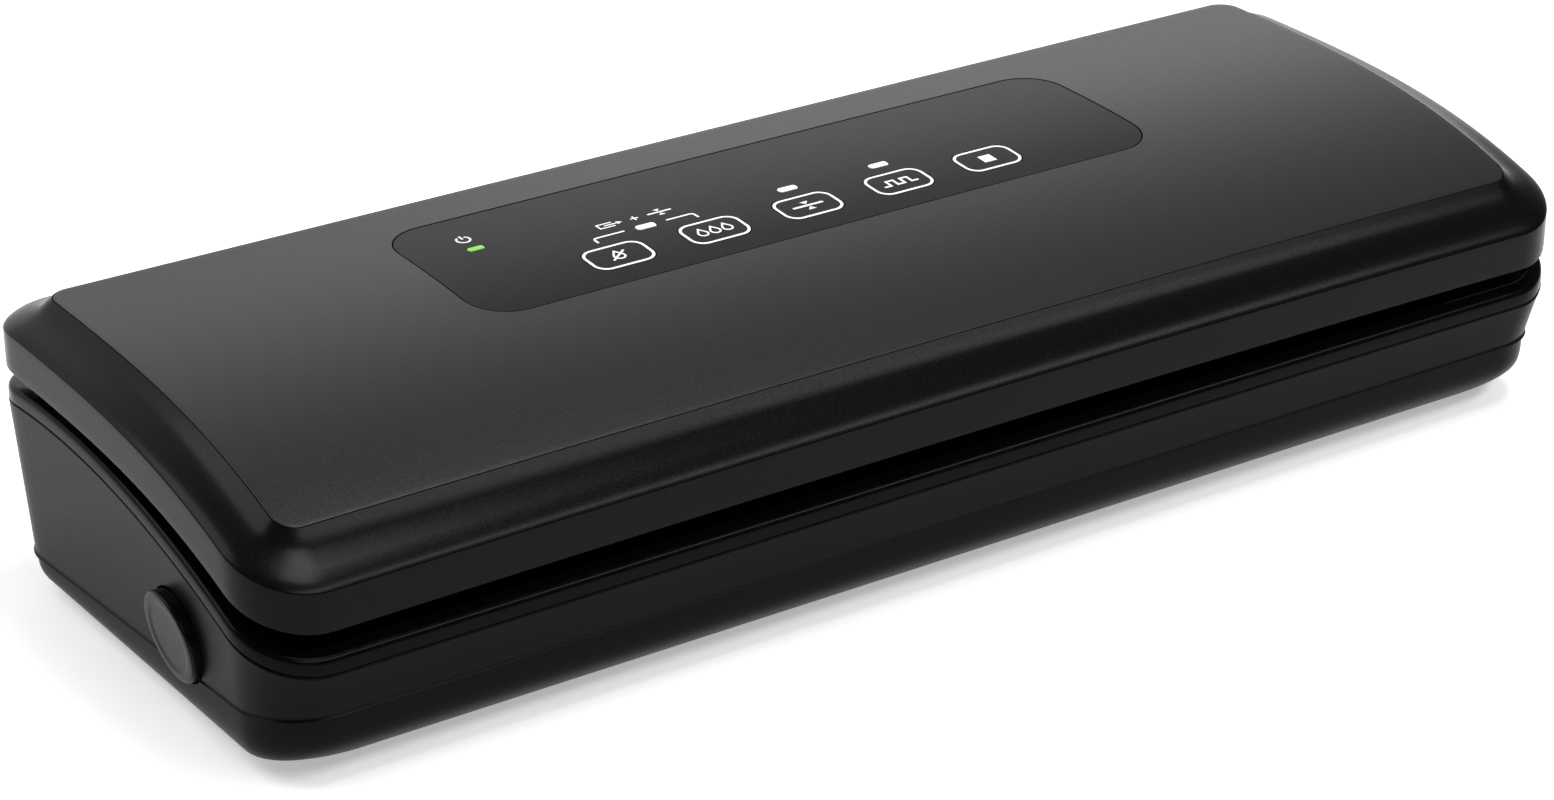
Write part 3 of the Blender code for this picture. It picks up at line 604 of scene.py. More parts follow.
def gathered(first: bpy.types.Mesh, second: bpy.types.Mesh) -> bpy.types.Mesh:
    """Put two closed meshes side by side.

    Args:
        first: Mesh that takes up both.
        second: The other mesh.

    Returns:
        The first mesh.
    """
    bm = bmesh.new()
    for mesh in (first, second):
        bm.from_mesh(mesh)
    bm.to_mesh(first)
    bm.free()
    return first


# ---------------------------------------------------------------- Geometry Nodes


class Recipe:
    """Geometry Nodes tree with named inputs, which ends in Realize Instances and Set Material."""

    def __init__(self, name: str, sizes: Sequence[str] = (), things: Sequence[str] = ()) -> None:
        """Open the tree.

        Args:
            name: Name of the tree.
            sizes: Names of its number inputs.
            things: Names of its object inputs.
        """
        self.tree = bpy.data.node_groups.new(name, "GeometryNodeTree")
        sockets = [("Geometry", "NodeSocketGeometry"), *((size, "NodeSocketFloat") for size in sizes),
                   *((thing, "NodeSocketObject") for thing in things), ("Material", "NodeSocketMaterial")]
        for socket, kind in sockets:
            self.tree.interface.new_socket(socket, in_out="INPUT", socket_type=kind)
        self.tree.interface.new_socket("Geometry", in_out="OUTPUT", socket_type="NodeSocketGeometry")
        self.given = add_node(self.tree, "NodeGroupInput").outputs

    def math(self, operation: str, *values: Any) -> bpy.types.NodeSocket:
        """Add a step of arithmetic and give its result."""
        return add_node(self.tree, "ShaderNodeMath", dict(enumerate(values)), operation=operation).outputs[0]

    def close(self, geometry: bpy.types.NodeSocket) -> "Recipe":
        """End the tree in Realize Instances and Set Material.

        Args:
            geometry: What the tree has made.

        Returns:
            The same recipe.
        """
        plain = add_node(self.tree, "GeometryNodeRealizeInstances", {0: geometry}).outputs[0]
        dressed = add_node(self.tree, "GeometryNodeSetMaterial", {"Geometry": plain,
                                                                  "Material": self.given["Material"]})
        add_node(self.tree, "NodeGroupOutput", {0: dressed.outputs[0]})
        return self

    def run(self, mesh: bpy.types.Mesh, values: dict[str, Any]) -> bpy.types.Mesh:
        """Run the tree on a mesh.

        Args:
            mesh: What the tree starts from.
            values: Its inputs by name.

        Returns:
            The result as a plain mesh.
        """
        carrier = bpy.data.objects.new("carrier", mesh)
        bpy.context.collection.objects.link(carrier)
        modifier = carrier.modifiers.new("recipe", "NODES")
        modifier.node_group = self.tree
        for item in self.tree.interface.items_tree:
            if item.in_out == "INPUT" and item.name in values:
                modifier[item.identifier] = values[item.name]
        evaluated = carrier.evaluated_get(bpy.context.evaluated_depsgraph_get())
        result = bpy.data.meshes.new_from_object(evaluated)
        bpy.data.objects.remove(carrier)
        return result


def bending_recipe() -> Recipe:
    """Tree that raises a flat-drawn mesh onto a surface cambered along Y and crowned along X."""
    recipe = Recipe("bend_to_camber", ("Level", "Slope", "Bow", "Twist", "Crown", "Half Length"))
    given = recipe.given
    place = add_node(recipe.tree, "GeometryNodeInputPosition").outputs[0]
    x, y, _ = add_node(recipe.tree, "ShaderNodeSeparateXYZ", {0: place}).outputs
    share = recipe.math("DIVIDE", y, 100.0)
    height = recipe.math("MULTIPLY_ADD", share, given["Twist"], given["Bow"])
    height = recipe.math("MULTIPLY_ADD", share, height, given["Slope"])
    height = recipe.math("MULTIPLY_ADD", share, height, given["Level"])
    out = recipe.math("DIVIDE", x, given["Half Length"])
    across = recipe.math("SUBTRACT", 1.0, recipe.math("MULTIPLY", out, out))
    front = add_node(recipe.tree, "ShaderNodeMapRange", {"Value": y, "From Min": 60.0, "From Max": -72.0,
                                                         "To Min": 0.0, "To Max": 1.1}).outputs[0]
    height = recipe.math("MULTIPLY_ADD", recipe.math("MULTIPLY", across, front), given["Crown"], height)
    rise = add_node(recipe.tree, "ShaderNodeCombineXYZ", {"Z": height}).outputs[0]
    moved = add_node(recipe.tree, "GeometryNodeSetPosition", {"Geometry": given["Geometry"], "Offset": rise})
    return recipe.close(moved.outputs[0])


def scatter_recipe() -> Recipe:
    """Tree that sets a copy of a part on each point, turned about Z by a fixed random angle."""
    recipe = Recipe("set_on_points", ("Size",), ("Part",))
    part = add_node(recipe.tree, "GeometryNodeObjectInfo", {"Object": recipe.given["Part"]}).outputs["Geometry"]
    turn = add_node(recipe.tree, "FunctionNodeRandomValue", {2: 0.0, 3: pi / 2, "Seed": 7}, data_type="FLOAT")
    angle = add_node(recipe.tree, "ShaderNodeCombineXYZ", {"Z": turn.outputs[1]}).outputs[0]
    copies = add_node(recipe.tree, "GeometryNodeInstanceOnPoints",
                      {"Points": recipe.given["Geometry"], "Instance": part, "Rotation": angle,
                       "Scale": recipe.given["Size"]})
    return recipe.close(copies.outputs[0])


def coil_recipe() -> Recipe:
    """Tree that winds a wire coil along Z."""
    recipe = Recipe("wind_coil", ("Radius", "Wire", "Turns", "Length"))
    given = recipe.given
    path = add_node(recipe.tree, "GeometryNodeCurveSpiral",
                    {"Resolution": 40, "Rotations": given["Turns"], "Start Radius": given["Radius"],
                     "End Radius": given["Radius"], "Height": given["Length"]}).outputs[0]
    section = add_node(recipe.tree, "GeometryNodeCurvePrimitiveCircle",
                       {"Resolution": 10, "Radius": given["Wire"]})
    wire = add_node(recipe.tree, "GeometryNodeCurveToMesh",
                    {"Curve": path, "Profile Curve": section.outputs[0], "Fill Caps": True})
    return recipe.close(wire.outputs[0])


def hose_recipe() -> Recipe:
    """Tree that runs a round hose along a path of edges, with eased bends."""
    recipe = Recipe("run_hose", ("Radius", "Ease"))
    given = recipe.given
    path = add_node(recipe.tree, "GeometryNodeMeshToCurve", {0: given["Geometry"]}).outputs[0]
    eased = add_node(recipe.tree, "GeometryNodeFilletCurve", {0: path, "Radius": given["Ease"], "Count": 8},
                     mode="POLY").outputs[0]
    section = add_node(recipe.tree, "GeometryNodeCurvePrimitiveCircle",
                       {"Resolution": 20, "Radius": given["Radius"]})
    hose = add_node(recipe.tree, "GeometryNodeCurveToMesh",
                    {"Curve": eased, "Profile Curve": section.outputs[0], "Fill Caps": True})
    return recipe.close(hose.outputs[0])


class Recipes:
    """The four trees, made once."""

    def __init__(self) -> None:
        """Make the trees."""
        self.bending = bending_recipe()
        self.scatter = scatter_recipe()
        self.coil = coil_recipe()
        self.hose = hose_recipe()


RECIPES = Recipes()


@dataclass(frozen=True)
class Camber:
    """Cambered surface: a cubic along Y, and a crown that fades to both ends and to the hinge."""

    level: float
    slope: float
    bow: float
    twist: float
    crown: float
    half_length: float = 190.0

    def at(self, x: float, y: float) -> float:
        """Give the surface's height over the table.

        Args:
            x: Place along the body.
            y: Place across it.

        Returns:
            The height in millimetres.
        """
        t = y / 100
        across = 1 - (x / self.half_length) ** 2
        front = min(max((60 - y) / 120, 0), 1.1)
        camber = self.level + self.slope * t + self.bow * t ** 2 + self.twist * t ** 3
        return camber + self.crown * across * front

    def bend(self, solid: Solid) -> bpy.types.Mesh:
        """Raise a flat-drawn solid onto the surface.

        Args:
            solid: The solid, whose heights count from the surface.

        Returns:
            The bent mesh.
        """
        values = {"Level": self.level, "Slope": self.slope, "Bow": self.bow, "Twist": self.twist,
                  "Crown": self.crown, "Half Length": self.half_length}
        return RECIPES.bending.run(solid.mesh(), values)


LID_TOP = Camber(72.5, 7.89, -15.86, 10.48, 1.38)
RIM_TOP = Camber(53.22, 13.07, -21.18, -0.33, 0.42)


def make_piece(name: str, mesh: bpy.types.Mesh, slot: str, body: str, nodes: Sequence[str] = (),
               finish: Finish | None = None, sharp: float = 34.0) -> bpy.types.Object:
    """Finish a piece: metres, smooth faces, material, the body it rides on and the nodes it stands for.

    Args:
        name: Name of the piece.
        mesh: Its mesh in millimetres.
        slot: The record's material slot.
        body: Body that it moves with.
        nodes: CAD nodes that it stands for.
        finish: Another finish than the slot's, if any.
        sharp: Angle in degrees past which an edge stays sharp.

    Returns:
        The finished object.
    """
    mesh.transform(Matrix.Scale(MM, 4))
    mesh.name = name
    mesh.materials.clear()
    mesh.materials.append(PALETTE.of(finish) if finish else PALETTE.slot(slot))
    mesh.shade_smooth()
    mesh.set_sharp_from_angle(angle=sharp * pi / 180)
    piece = bpy.data.objects.new(name, mesh)
    bpy.context.collection.objects.link(piece)
    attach(piece, body)
    if nodes:
        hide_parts(*nodes)
    LOG.info("%s: %d faces on %s", name, len(mesh.polygons), body)
    return piece


# ---------------------------------------------------------------- symbols


def stroke(points: Sequence[Flat], width: float, closed: bool = False) -> tuple[list[Flat], list[Flat]]:
    """Both edges of a line of even width.

    Args:
        points: Middle line.
        width: Width of the line.
        closed: Whether its ends meet.

    Returns:
        Left edge and right edge, point by point.
    """
    left, right = [], []
    count = len(points)
    for index, point in enumerate(points):
        here = Vector(point)
        before = Vector(points[index - 1]) if index or closed else here
        after = Vector(points[(index + 1) % count]) if index < count - 1 or closed else here
        ways = [way.normalized() for way in (here - before, after - here) if way.length > 1e-6]
        along = sum(ways, Vector((0, 0))).normalized()
        side = Vector((-along.y, along.x))
        reach = width / 2 / max(abs(side.dot(Vector((-ways[0].y, ways[0].x)))), 0.4)
        left.append(tuple(here + side * reach))
        right.append(tuple(here - side * reach))
    return left, right


def arc(x: float, y: float, radius: float, start: float, end: float, steps: int = 16) -> list[Flat]:
    """Points on an arc.

    Args:
        x: Middle of the arc.
        y: Middle of the arc.
        radius: Its radius.
        start: Angle of its start, in turns.
        end: Angle of its end, in turns.
        steps: Pieces in it.

    Returns:
        Points of the arc.
    """
    angles = [2 * pi * (start + (end - start) * step / steps) for step in range(steps + 1)]
    return [(x + radius * cos(a), y + radius * sin(a)) for a in angles]


def droplet(x: float, y: float, size: float) -> list[Flat]:
    """Outline of a drop with its tip up."""
    radius = size * 0.36
    return [(x, y + size * 0.6), *arc(x, y - size * 0.1, radius, 0.08, -0.58, 14)]


class Symbol(Enum):
    """What each printed sign shows, in place of a word."""

    DRY = "a struck-out drop"
    MOIST = "three drops"
    SEAL = "a seam pressed from both sides"
    PULSE = "a square wave"
    STOP = "a filled square"
    POWER = "a broken ring with a bar"
    CYCLE = "a bag that empties, a plus sign and a seam"


@dataclass
class Print:
    """White screen printing on the control panel, as a layer a few hundredths thick."""

    surface: float
    proud: float = 0.035
    sunk: float = 0.05
    thin: float = 0.4
    line: float = 0.45
    firm: float = 0.5
    bold: float = 0.6
    key_sign_scale: float = 1.3
    solid: Solid = field(default_factory=Solid)

    @property
    def span(self) -> tuple[float, float]:
        """Lower and upper level of the ink."""
        return self.surface - self.sunk, self.surface + self.proud

    def line_along(self, points: Sequence[Flat], width: float) -> None:
        """Print an open line."""
        left, right = stroke(points, width)
        for a, b, c, d in zip(left, left[1:], right[1:], right):
            self.patch([d, c, b, a])

    def ring(self, points: Sequence[Flat], width: float) -> None:
        """Print a closed line."""
        left, right = stroke(points, width, closed=True)
        self.solid.frame_prism(right, left, *self.span)

    def patch(self, points: Sequence[Flat]) -> None:
        """Print a filled shape."""
        self.solid.prism(points, *self.span)

    def bag(self, x: float) -> None:
        """Print a bag with an arrow that leads the air out of it.

        Args:
            x: Middle of the bag.
        """
        self.line_along([(x + 1.2, 1.1), (x - 3.0, 1.1), (x - 3.0, -1.1), (x + 1.2, -1.1)], self.line)
        self.line_along([(x - 1.4, 0), (x + 2.4, 0)], self.line)
        self.patch([(x + 2.2, -0.8), (x + 3.7, 0), (x + 2.2, 0.8)])

    def seam(self, x: float) -> None:
        """Print a seam with an arrowhead pressing on each side."""
        self.line_along([(x - 3.4, 0), (x + 3.4, 0)], self.bold)
        for side in (1, -1):
            self.patch([(x - 0.9 * side, 1.7 * side), (x, 0.6 * side), (x + 0.9 * side, 1.7 * side)])

    def sign(self, symbol: Symbol, x: float, y: float) -> None:
        """Print one symbol in its place; those on keys are drawn larger.

        Args:
            symbol: Which sign.
            x: Middle of the sign.
            y: Middle of the sign.
        """
        printed = len(self.solid.bm.verts)
        self.draw(symbol)
        scale = 1.0 if symbol in (Symbol.CYCLE, Symbol.POWER) else self.key_sign_scale
        self.solid.bm.verts.ensure_lookup_table()
        for vert in self.solid.bm.verts[printed:]:
            vert.co.x, vert.co.y = x + vert.co.x * scale, y + vert.co.y * scale

    def draw(self, symbol: Symbol) -> None:
        """Draw one symbol round the origin at its plain size."""
        if symbol is Symbol.DRY:
            self.ring(droplet(0, 0, 3.0), self.thin)
            self.line_along([(-1.9, -1.5), (1.9, 1.5)], self.line)
        elif symbol is Symbol.MOIST:
            for offset in (-2.7, 0, 2.7):
                self.ring(droplet(offset, 0, 2.7), self.thin)
        elif symbol is Symbol.SEAL:
            self.seam(0)
        elif symbol is Symbol.PULSE:
            flanks = ((-2.4, 1), (-0.8, -1), (0.8, 1), (2.4, -1))
            steps = [(x, side * way) for x, way in flanks for side in (-1, 1)]
            self.line_along([(-3.9, -1.0), *steps, (3.9, -1.0)], self.firm)
        elif symbol is Symbol.STOP:
            self.patch([(-1.4, -1.4), (1.4, -1.4), (1.4, 1.4), (-1.4, 1.4)])
        elif symbol is Symbol.POWER:
            self.line_along(arc(0, 0, 1.7, 0.34, 1.16, 24), self.firm)
            self.line_along([(0, 0.3), (0, 2.3)], self.firm)
        else:
            self.bag(-7.2)
            self.line_along([(-1.1, 0), (1.1, 0)], self.line)
            self.line_along([(0, -1.1), (0, 1.1)], self.line)
            self.seam(7.2)


# ---------------------------------------------------------------- lid


@dataclass
class ControlPanel:
    """Front film with five keys, four lamps and their printing."""

    film: Outline = Outline(-98.0, 100.5, -9.3, 43.3, 11, 12, 40, 10)
    film_top: float = -0.08
    film_thickness: float = 1.15
    film_pitch: float = 3.2
    underside_pitch: float = 9.0
    key_pitch: float = 27.4
    key_middle: Flat = (0.4, 3.3)
    key_width: float = 17.2
    key_depth: float = 11.4
    key_radius: float = 3.8
    key_thickness: float = 0.9
    edge_radius: float = 0.2
    gap: float = 0.25
    ring_inset: float = 0.12
    ring_width: float = 0.75
    lens_depth: float = 1.15
    bracket_drop: float = 2.4
    bracket_radius: float = 1.6
    bracket_gap: float = 6.0
    cycle_sign_y: float = 19.1
    power_sign_y: float = 30.7
    keys: tuple[tuple[str, Symbol], ...] = (("dry", Symbol.DRY), ("moist", Symbol.MOIST), ("seal", Symbol.SEAL),
                                            ("pulse", Symbol.PULSE), ("stop", Symbol.STOP))
    lamps: tuple[tuple[str, float, float, float, float], ...] = (
        ("lamp_power", -81.3, 24.7, 4.4, 2.0), ("lamp_mode", -40.1, 13.8, 5.4, 2.3),
        ("lamp_seal", 1.6, 14.1, 5.4, 2.3), ("lamp_pulse", 29.2, 14.2, 5.4, 2.3))

    def key_place(self, index: int) -> Flat:
        """Middle of one key."""
        return self.key_middle[0] + (index - 2) * self.key_pitch, self.key_middle[1]

    def key_outline(self, index: int) -> Outline:
        """Outline of one key."""
        x, y = self.key_place(index)
        return Outline(x - self.key_width / 2, x + self.key_width / 2, y - self.key_depth / 2,
                       y + self.key_depth / 2, self.key_radius, 8, 6, 3)

    def lamp_outline(self, index: int) -> Outline:
        """Outline of one lamp's lens."""
        _, x, y, width, depth = self.lamps[index]
        return Outline(x - width / 2, x + width / 2, y - depth / 2, y + depth / 2, depth / 3, 6, 4, 2)

    def build_film(self) -> None:
        """Film, pierced for the keys and lamps."""
        solid = Solid()
        outer = self.film.points()
        holes = [self.key_outline(index).points(-self.gap) for index in range(len(self.keys))]
        holes += [self.lamp_outline(index).points(-self.gap) for index in range(len(self.lamps))]
        low, high = self.film_top - self.film_thickness, self.film_top
        solid.region(outer, holes, high, self.film_pitch).region(outer, holes, low, self.underside_pitch)
        for loop in (outer, *holes):
            solid.loft([lift(loop, low), lift(loop, high)])
        make_piece("front_film", LID_TOP.bend(solid), "overlay_film", "lid", ["control_overlay"])

    def build_keys(self) -> None:
        """Key caps with a printed ring and sign each."""
        top = self.film_top
        for index, (name, symbol) in enumerate(self.keys):
            outline = self.key_outline(index)
            cap = Solid().tablet(outline, top - self.key_thickness, top, self.edge_radius, 1.0, 4)
            body = f"key_{name}_cap"
            make_piece(f"cap_{name}", LID_TOP.bend(cap), "overlay_film", body, [f"key_{name}"])
            ink = Print(top)
            outer, inner = (outline.points(self.ring_inset + width) for width in (0.0, self.ring_width))
            ink.solid.frame_prism(outer, inner, *ink.span)
            ink.sign(symbol, *self.key_place(index))
            make_piece(f"ink_{name}", LID_TOP.bend(ink.solid), "lamp_white", body, finish=INK_WITH_PAINTED_GLOW)

    def build_lamps(self) -> None:
        """Lens of each lamp, with a rounded edge."""
        for index, (name, *_) in enumerate(self.lamps):
            lens = Solid().tablet(self.lamp_outline(index), -self.lens_depth, 0.0, self.edge_radius, 0.7, 3)
            slot = "lamp_green" if name == "lamp_power" else "lamp_white"
            make_piece(name.replace("lamp", "lens"), LID_TOP.bend(lens), slot, "lid", [name])

    def build_print(self) -> None:
        """Bracket over the first two keys, power sign and cycle sign."""
        ink = Print(self.film_top)
        middle, level = self.lamps[1][1], self.lamps[1][2] + 0.2
        for side, key in ((-1, 0), (1, 1)):
            far = self.key_place(key)[0] + 0.6 * side
            foot = level - self.bracket_drop
            bend = rounded([(far, foot, 0), (far, level, self.bracket_radius),
                            (middle + self.bracket_gap * side, level, 0)], 5)
            ink.line_along([(far, foot - 0.2), *bend], ink.bold)
        ink.sign(Symbol.CYCLE, middle, self.cycle_sign_y)
        ink.sign(Symbol.POWER, self.lamps[0][1], self.power_sign_y)
        make_piece("ink_panel", LID_TOP.bend(ink.solid), "lamp_white", "lid", finish=INK_WITH_PAINTED_GLOW)

    def build(self) -> None:
        """Make the whole panel."""
        self.build_film()
        self.build_keys()
        self.build_lamps()
        self.build_print()


@dataclass
class Lid:
    """Hinged lid: bezel, satin plate, control panel, liner, pressing strip, seals and screws; its hooks are not
    drawn here.
    """

    outline: Outline = BODY
    height: float = 15.56
    wall: float = 2.4
    plate_inset: float = 12.0
    plate_thickness: float = 2.6
    pocket_depth: float = 1.5
    film_seam: float = 0.42
    gap: float = 0.3
    liner: Outline = Outline(-187.3, 187.3, -67.3, 52, 14.6, 10, 60, 20)
    liner_top: float = -11.0
    liner_bottom: float = -13.0
    rear_fall: float = 1.2
    rear_start: float = 52.0
    rear_reach: float = 14.0
    lug_half: float = 1.4
    lug_reach: float = 3.4
    lug_offset: float = 4.0
    lug_root: float = 4.4
    slot_half: float = 2.5
    slot_below: float = 6.0
    slot_above: float = 3.6
    strip: Outline = Outline(-157, 157, -55, -49, 1.2, 5, 60, 2)
    strip_depth: float = 4.4
    gasket_outer: Outline = Outline(-171, 171, -46, -3, 12, 10, 60, 6)
    gasket_inner: Outline = Outline(-164.5, 164.5, -40.5, -8.5, 6, 10, 60, 6)
    screws: tuple[Flat, ...] = ((-150, -61.5), (150, -61.5), (-150, 40), (150, 40))
    panel: ControlPanel = field(default_factory=ControlPanel)

    def build_bezel(self) -> None:
        """Outer moulding: seat, cove, rolled band, crisp shoulder, side band and inner wall."""
        seat = self.plate_thickness + self.gap
        top = flowing([(11.72, -0.1), (11.2, -0.5), (10.2, -1.25), (9.2, -1.9), (8.2, -2.42), (6.8, -2.95),
                       (5.2, -3.45), (3.4, -3.95), (1.8, -4.5), (0.7, -5.05), (0.14, -5.5)], 4)
        section = [(11.75, -seat - 2.4), (11.75, -seat), (11.75, -0.3), *top,
                   *rounded([(0.14, -5.5, 0), (0.0, -5.72, 0.15), (0.0, -8, 0)], 3)[1:],
                   (0, -11.5), *rounded([(0, -13, 0), (0, -self.height, 0.35), (self.wall, -self.height, 0.35),
                                         (self.wall, -13, 0)], 4),
                   (self.wall, -7.8), (4.6, -seat - 2.4)]

        def level(inset: float, z: float) -> Height:
            """Level of one loop: the visible skin falls towards the hinge, the seat and the wall don't."""
            fall = self.rear_fall * min(max((10.8 - inset) / 2.5, 0), 1)
            if z < -7 or inset >= self.wall and z < -6:
                return z
            return lambda x, y: z - fall * min(max((y - self.rear_start) / self.rear_reach, 0), 1)

        shell = Solid().loft([lift(self.outline.points(inset), level(inset, z)) for inset, z in section],
                             closed=True)
        mesh = LID_TOP.bend(shell)
        x, y, z = HINGE
        skin = LID_TOP.at(0, y) - self.lug_root
        for side in (-1, 1):
            left, right = side * x - self.slot_half, side * x + self.slot_half
            near, far = y + 4, self.outline.y_high + 2
            slot = Solid().prism([(left, near), (right, near), (right, far), (left, far)],
                                 z - self.slot_below, z + self.slot_above)
            mesh = cut(mesh, slot.mesh())
        lugs = Solid()
        for side in (-1, 1):
            for offset in (-self.lug_offset, self.lug_offset):
                self.add_lug(lugs, side * x + offset, skin)
        make_piece("lid_bezel", gathered(mesh, lugs.mesh()), "lid_plastic", "lid", ["lid_shell"], sharp=28)

    def add_lug(self, solid: Solid, x: float, skin: float) -> None:
        """Add one hinge lug with a round end.

        Args:
            solid: Solid that gets the lug.
            x: Middle of the lug.
            skin: Height of its upper end, inside the skin.
        """
        _, y, z = HINGE
        reach = self.lug_reach
        face = [(y + reach, skin), *arc(y, z, reach, 0.0, -0.5, 14), (y - reach, skin)]
        solid.block(*([Vector((x + side * self.lug_half, a, b)) for a, b in face] for side in (-1, 1)))

    def build_plate(self) -> None:
        """Satin plate with a soft edge and the pocket for the film."""
        plate = self.outline.shrunk(self.plate_inset, 10, 60, 20)
        pocket = self.panel.film.shrunk(-self.film_seam, 10, 60, 20)
        edge = rounded([(0.0, -self.plate_thickness, 0), (0.0, 0.0, 0.2), (1.5, 0.0, 0)], 5)
        loops = [lift(plate.points(inset), z) for inset, z in edge]
        start, end = plate.points(1.5), pocket.points()
        steps = 16
        for step in range(1, steps + 1):
            loops.append(lift([between(a, b, step / steps) for a, b in zip(start, end)], 0.0))
        loops.append(lift(end, -self.pocket_depth))
        solid = Solid().loft(loops)
        solid.cap(pocket, end, -self.pocket_depth, 6)
        solid.cap(plate, plate.points(), -self.plate_thickness, 12)
        make_piece("satin_plate", LID_TOP.bend(solid), "plate_satin", "lid", ["lid_top_plate"])

    def build_liner(self) -> None:
        """Underside cover with a beaded edge."""
        liner, top, bottom = self.liner, self.liner_top, self.liner_bottom
        panel = bottom + 0.5
        edge = rounded([(3.0, top, 0), (0.0, top, 0.4), (0.0, bottom, 0.6), (3.0, bottom, 0.3),
                        (3.6, panel, 0.3), (6.0, panel, 0)], 4)
        solid = Solid().loft([lift(liner.points(inset), z) for inset, z in edge])
        solid.cap(liner, liner.points(3.0), top, 12).cap(liner, liner.points(6.0), panel, 12)
        make_piece("lid_underside", LID_TOP.bend(solid), "liner_plastic", "lid", ["lid_liner"])

    def build_strip(self) -> None:
        """Silicone strip that presses the bag on the sealing line, with three lengthwise ribs."""
        strip, tip = self.strip, 0.05
        top = self.liner_bottom - self.gap
        bottom = top - self.strip_depth
        groove = bottom + 0.5
        section = rounded([(0.0, top, 0), (0.0, groove, 0.6), (0.9, bottom, 0.3), (1.4, groove, 0.3),
                           (1.9, bottom, 0.3), (2.4, groove, 0.3), (2.9, bottom, 0)], 3)
        solid = Solid().loft([lift(strip.points(inset, max(strip.radius - inset, tip)), z)
                              for inset, z in section])
        solid.cap(strip, strip.points(), top, 1)
        solid.cap(strip, strip.points(section[-1][0], tip), bottom, 1)
        make_piece("press_strip", LID_TOP.bend(solid), "silicone", "lid", ["lid_pressure_strip"])

    def seal(self, name: str, body: str, node: str, low: Callable[[float, float], float],
             high: Callable[[float, float], float]) -> None:
        """Make one foam seal loop with soft edges.

        Args:
            name: Name of the piece.
            body: Body that carries it.
            node: CAD node that it stands for.
            low: Its lower surface.
            high: Its upper surface.
        """
        outer, inner = self.gasket_outer, self.gasket_inner

        def level(share: float) -> Callable[[float, float], float]:
            """Level at a share of the seal's height."""
            return lambda x, y: low(x, y) + (high(x, y) - low(x, y)) * share

        def loop(share: float) -> list[Flat]:
            """Loop at a share of the seal's width."""
            return [between(a, b, share) for a, b in zip(outer.points(), inner.points())]

        soft = 0.16
        section = rounded([(0.0, 0.5, 0), (0.0, 1.0, soft), (1.0, 1.0, soft), (1.0, 0.0, soft),
                           (0.0, 0.0, soft), (0.0, 0.5, 0)], 5)[:-1]
        solid = Solid().loft([lift(loop(across), level(up)) for across, up in section], closed=True)
        piece = make_piece(name, solid.mesh(), "seal_foam", body, [node], sharp=60)

    def build_seals(self) -> None:
        """Foam loops of the lid and of the base, which meet half way."""
        def floor(x: float, y: float) -> float:
            """Deck under the seals, which they sink into a little."""
            return RIM_TOP.at(x, y) - 2.2

        def ceiling(x: float, y: float) -> float:
            """Liner over the seals."""
            return LID_TOP.at(x, y) + self.liner_bottom - self.gap

        def meeting(x: float, y: float) -> float:
            """Level half way between."""
            return (floor(x, y) + ceiling(x, y)) / 2

        part = self.gap / 2
        self.seal("foam_seal_lid", "lid", "lid_gasket", lambda x, y: meeting(x, y) + part, ceiling)
        self.seal("foam_seal_base", "base", "chamber_gasket", floor, lambda x, y: meeting(x, y) - part)

    def build(self) -> None:
        """Make the whole lid."""
        self.build_bezel()
        self.build_plate()
        self.panel.build()
        self.build_liner()
        self.build_strip()
        self.build_seals()
        spots = [(x, y, LID_TOP.at(x, y) + self.liner_bottom - self.gap) for x, y in self.screws]
        make_piece("lid_screws", Fixings().screws(spots, 1.0), "steel", "lid",
                   [f"lid_screw_{number}" for number in range(1, 5)])


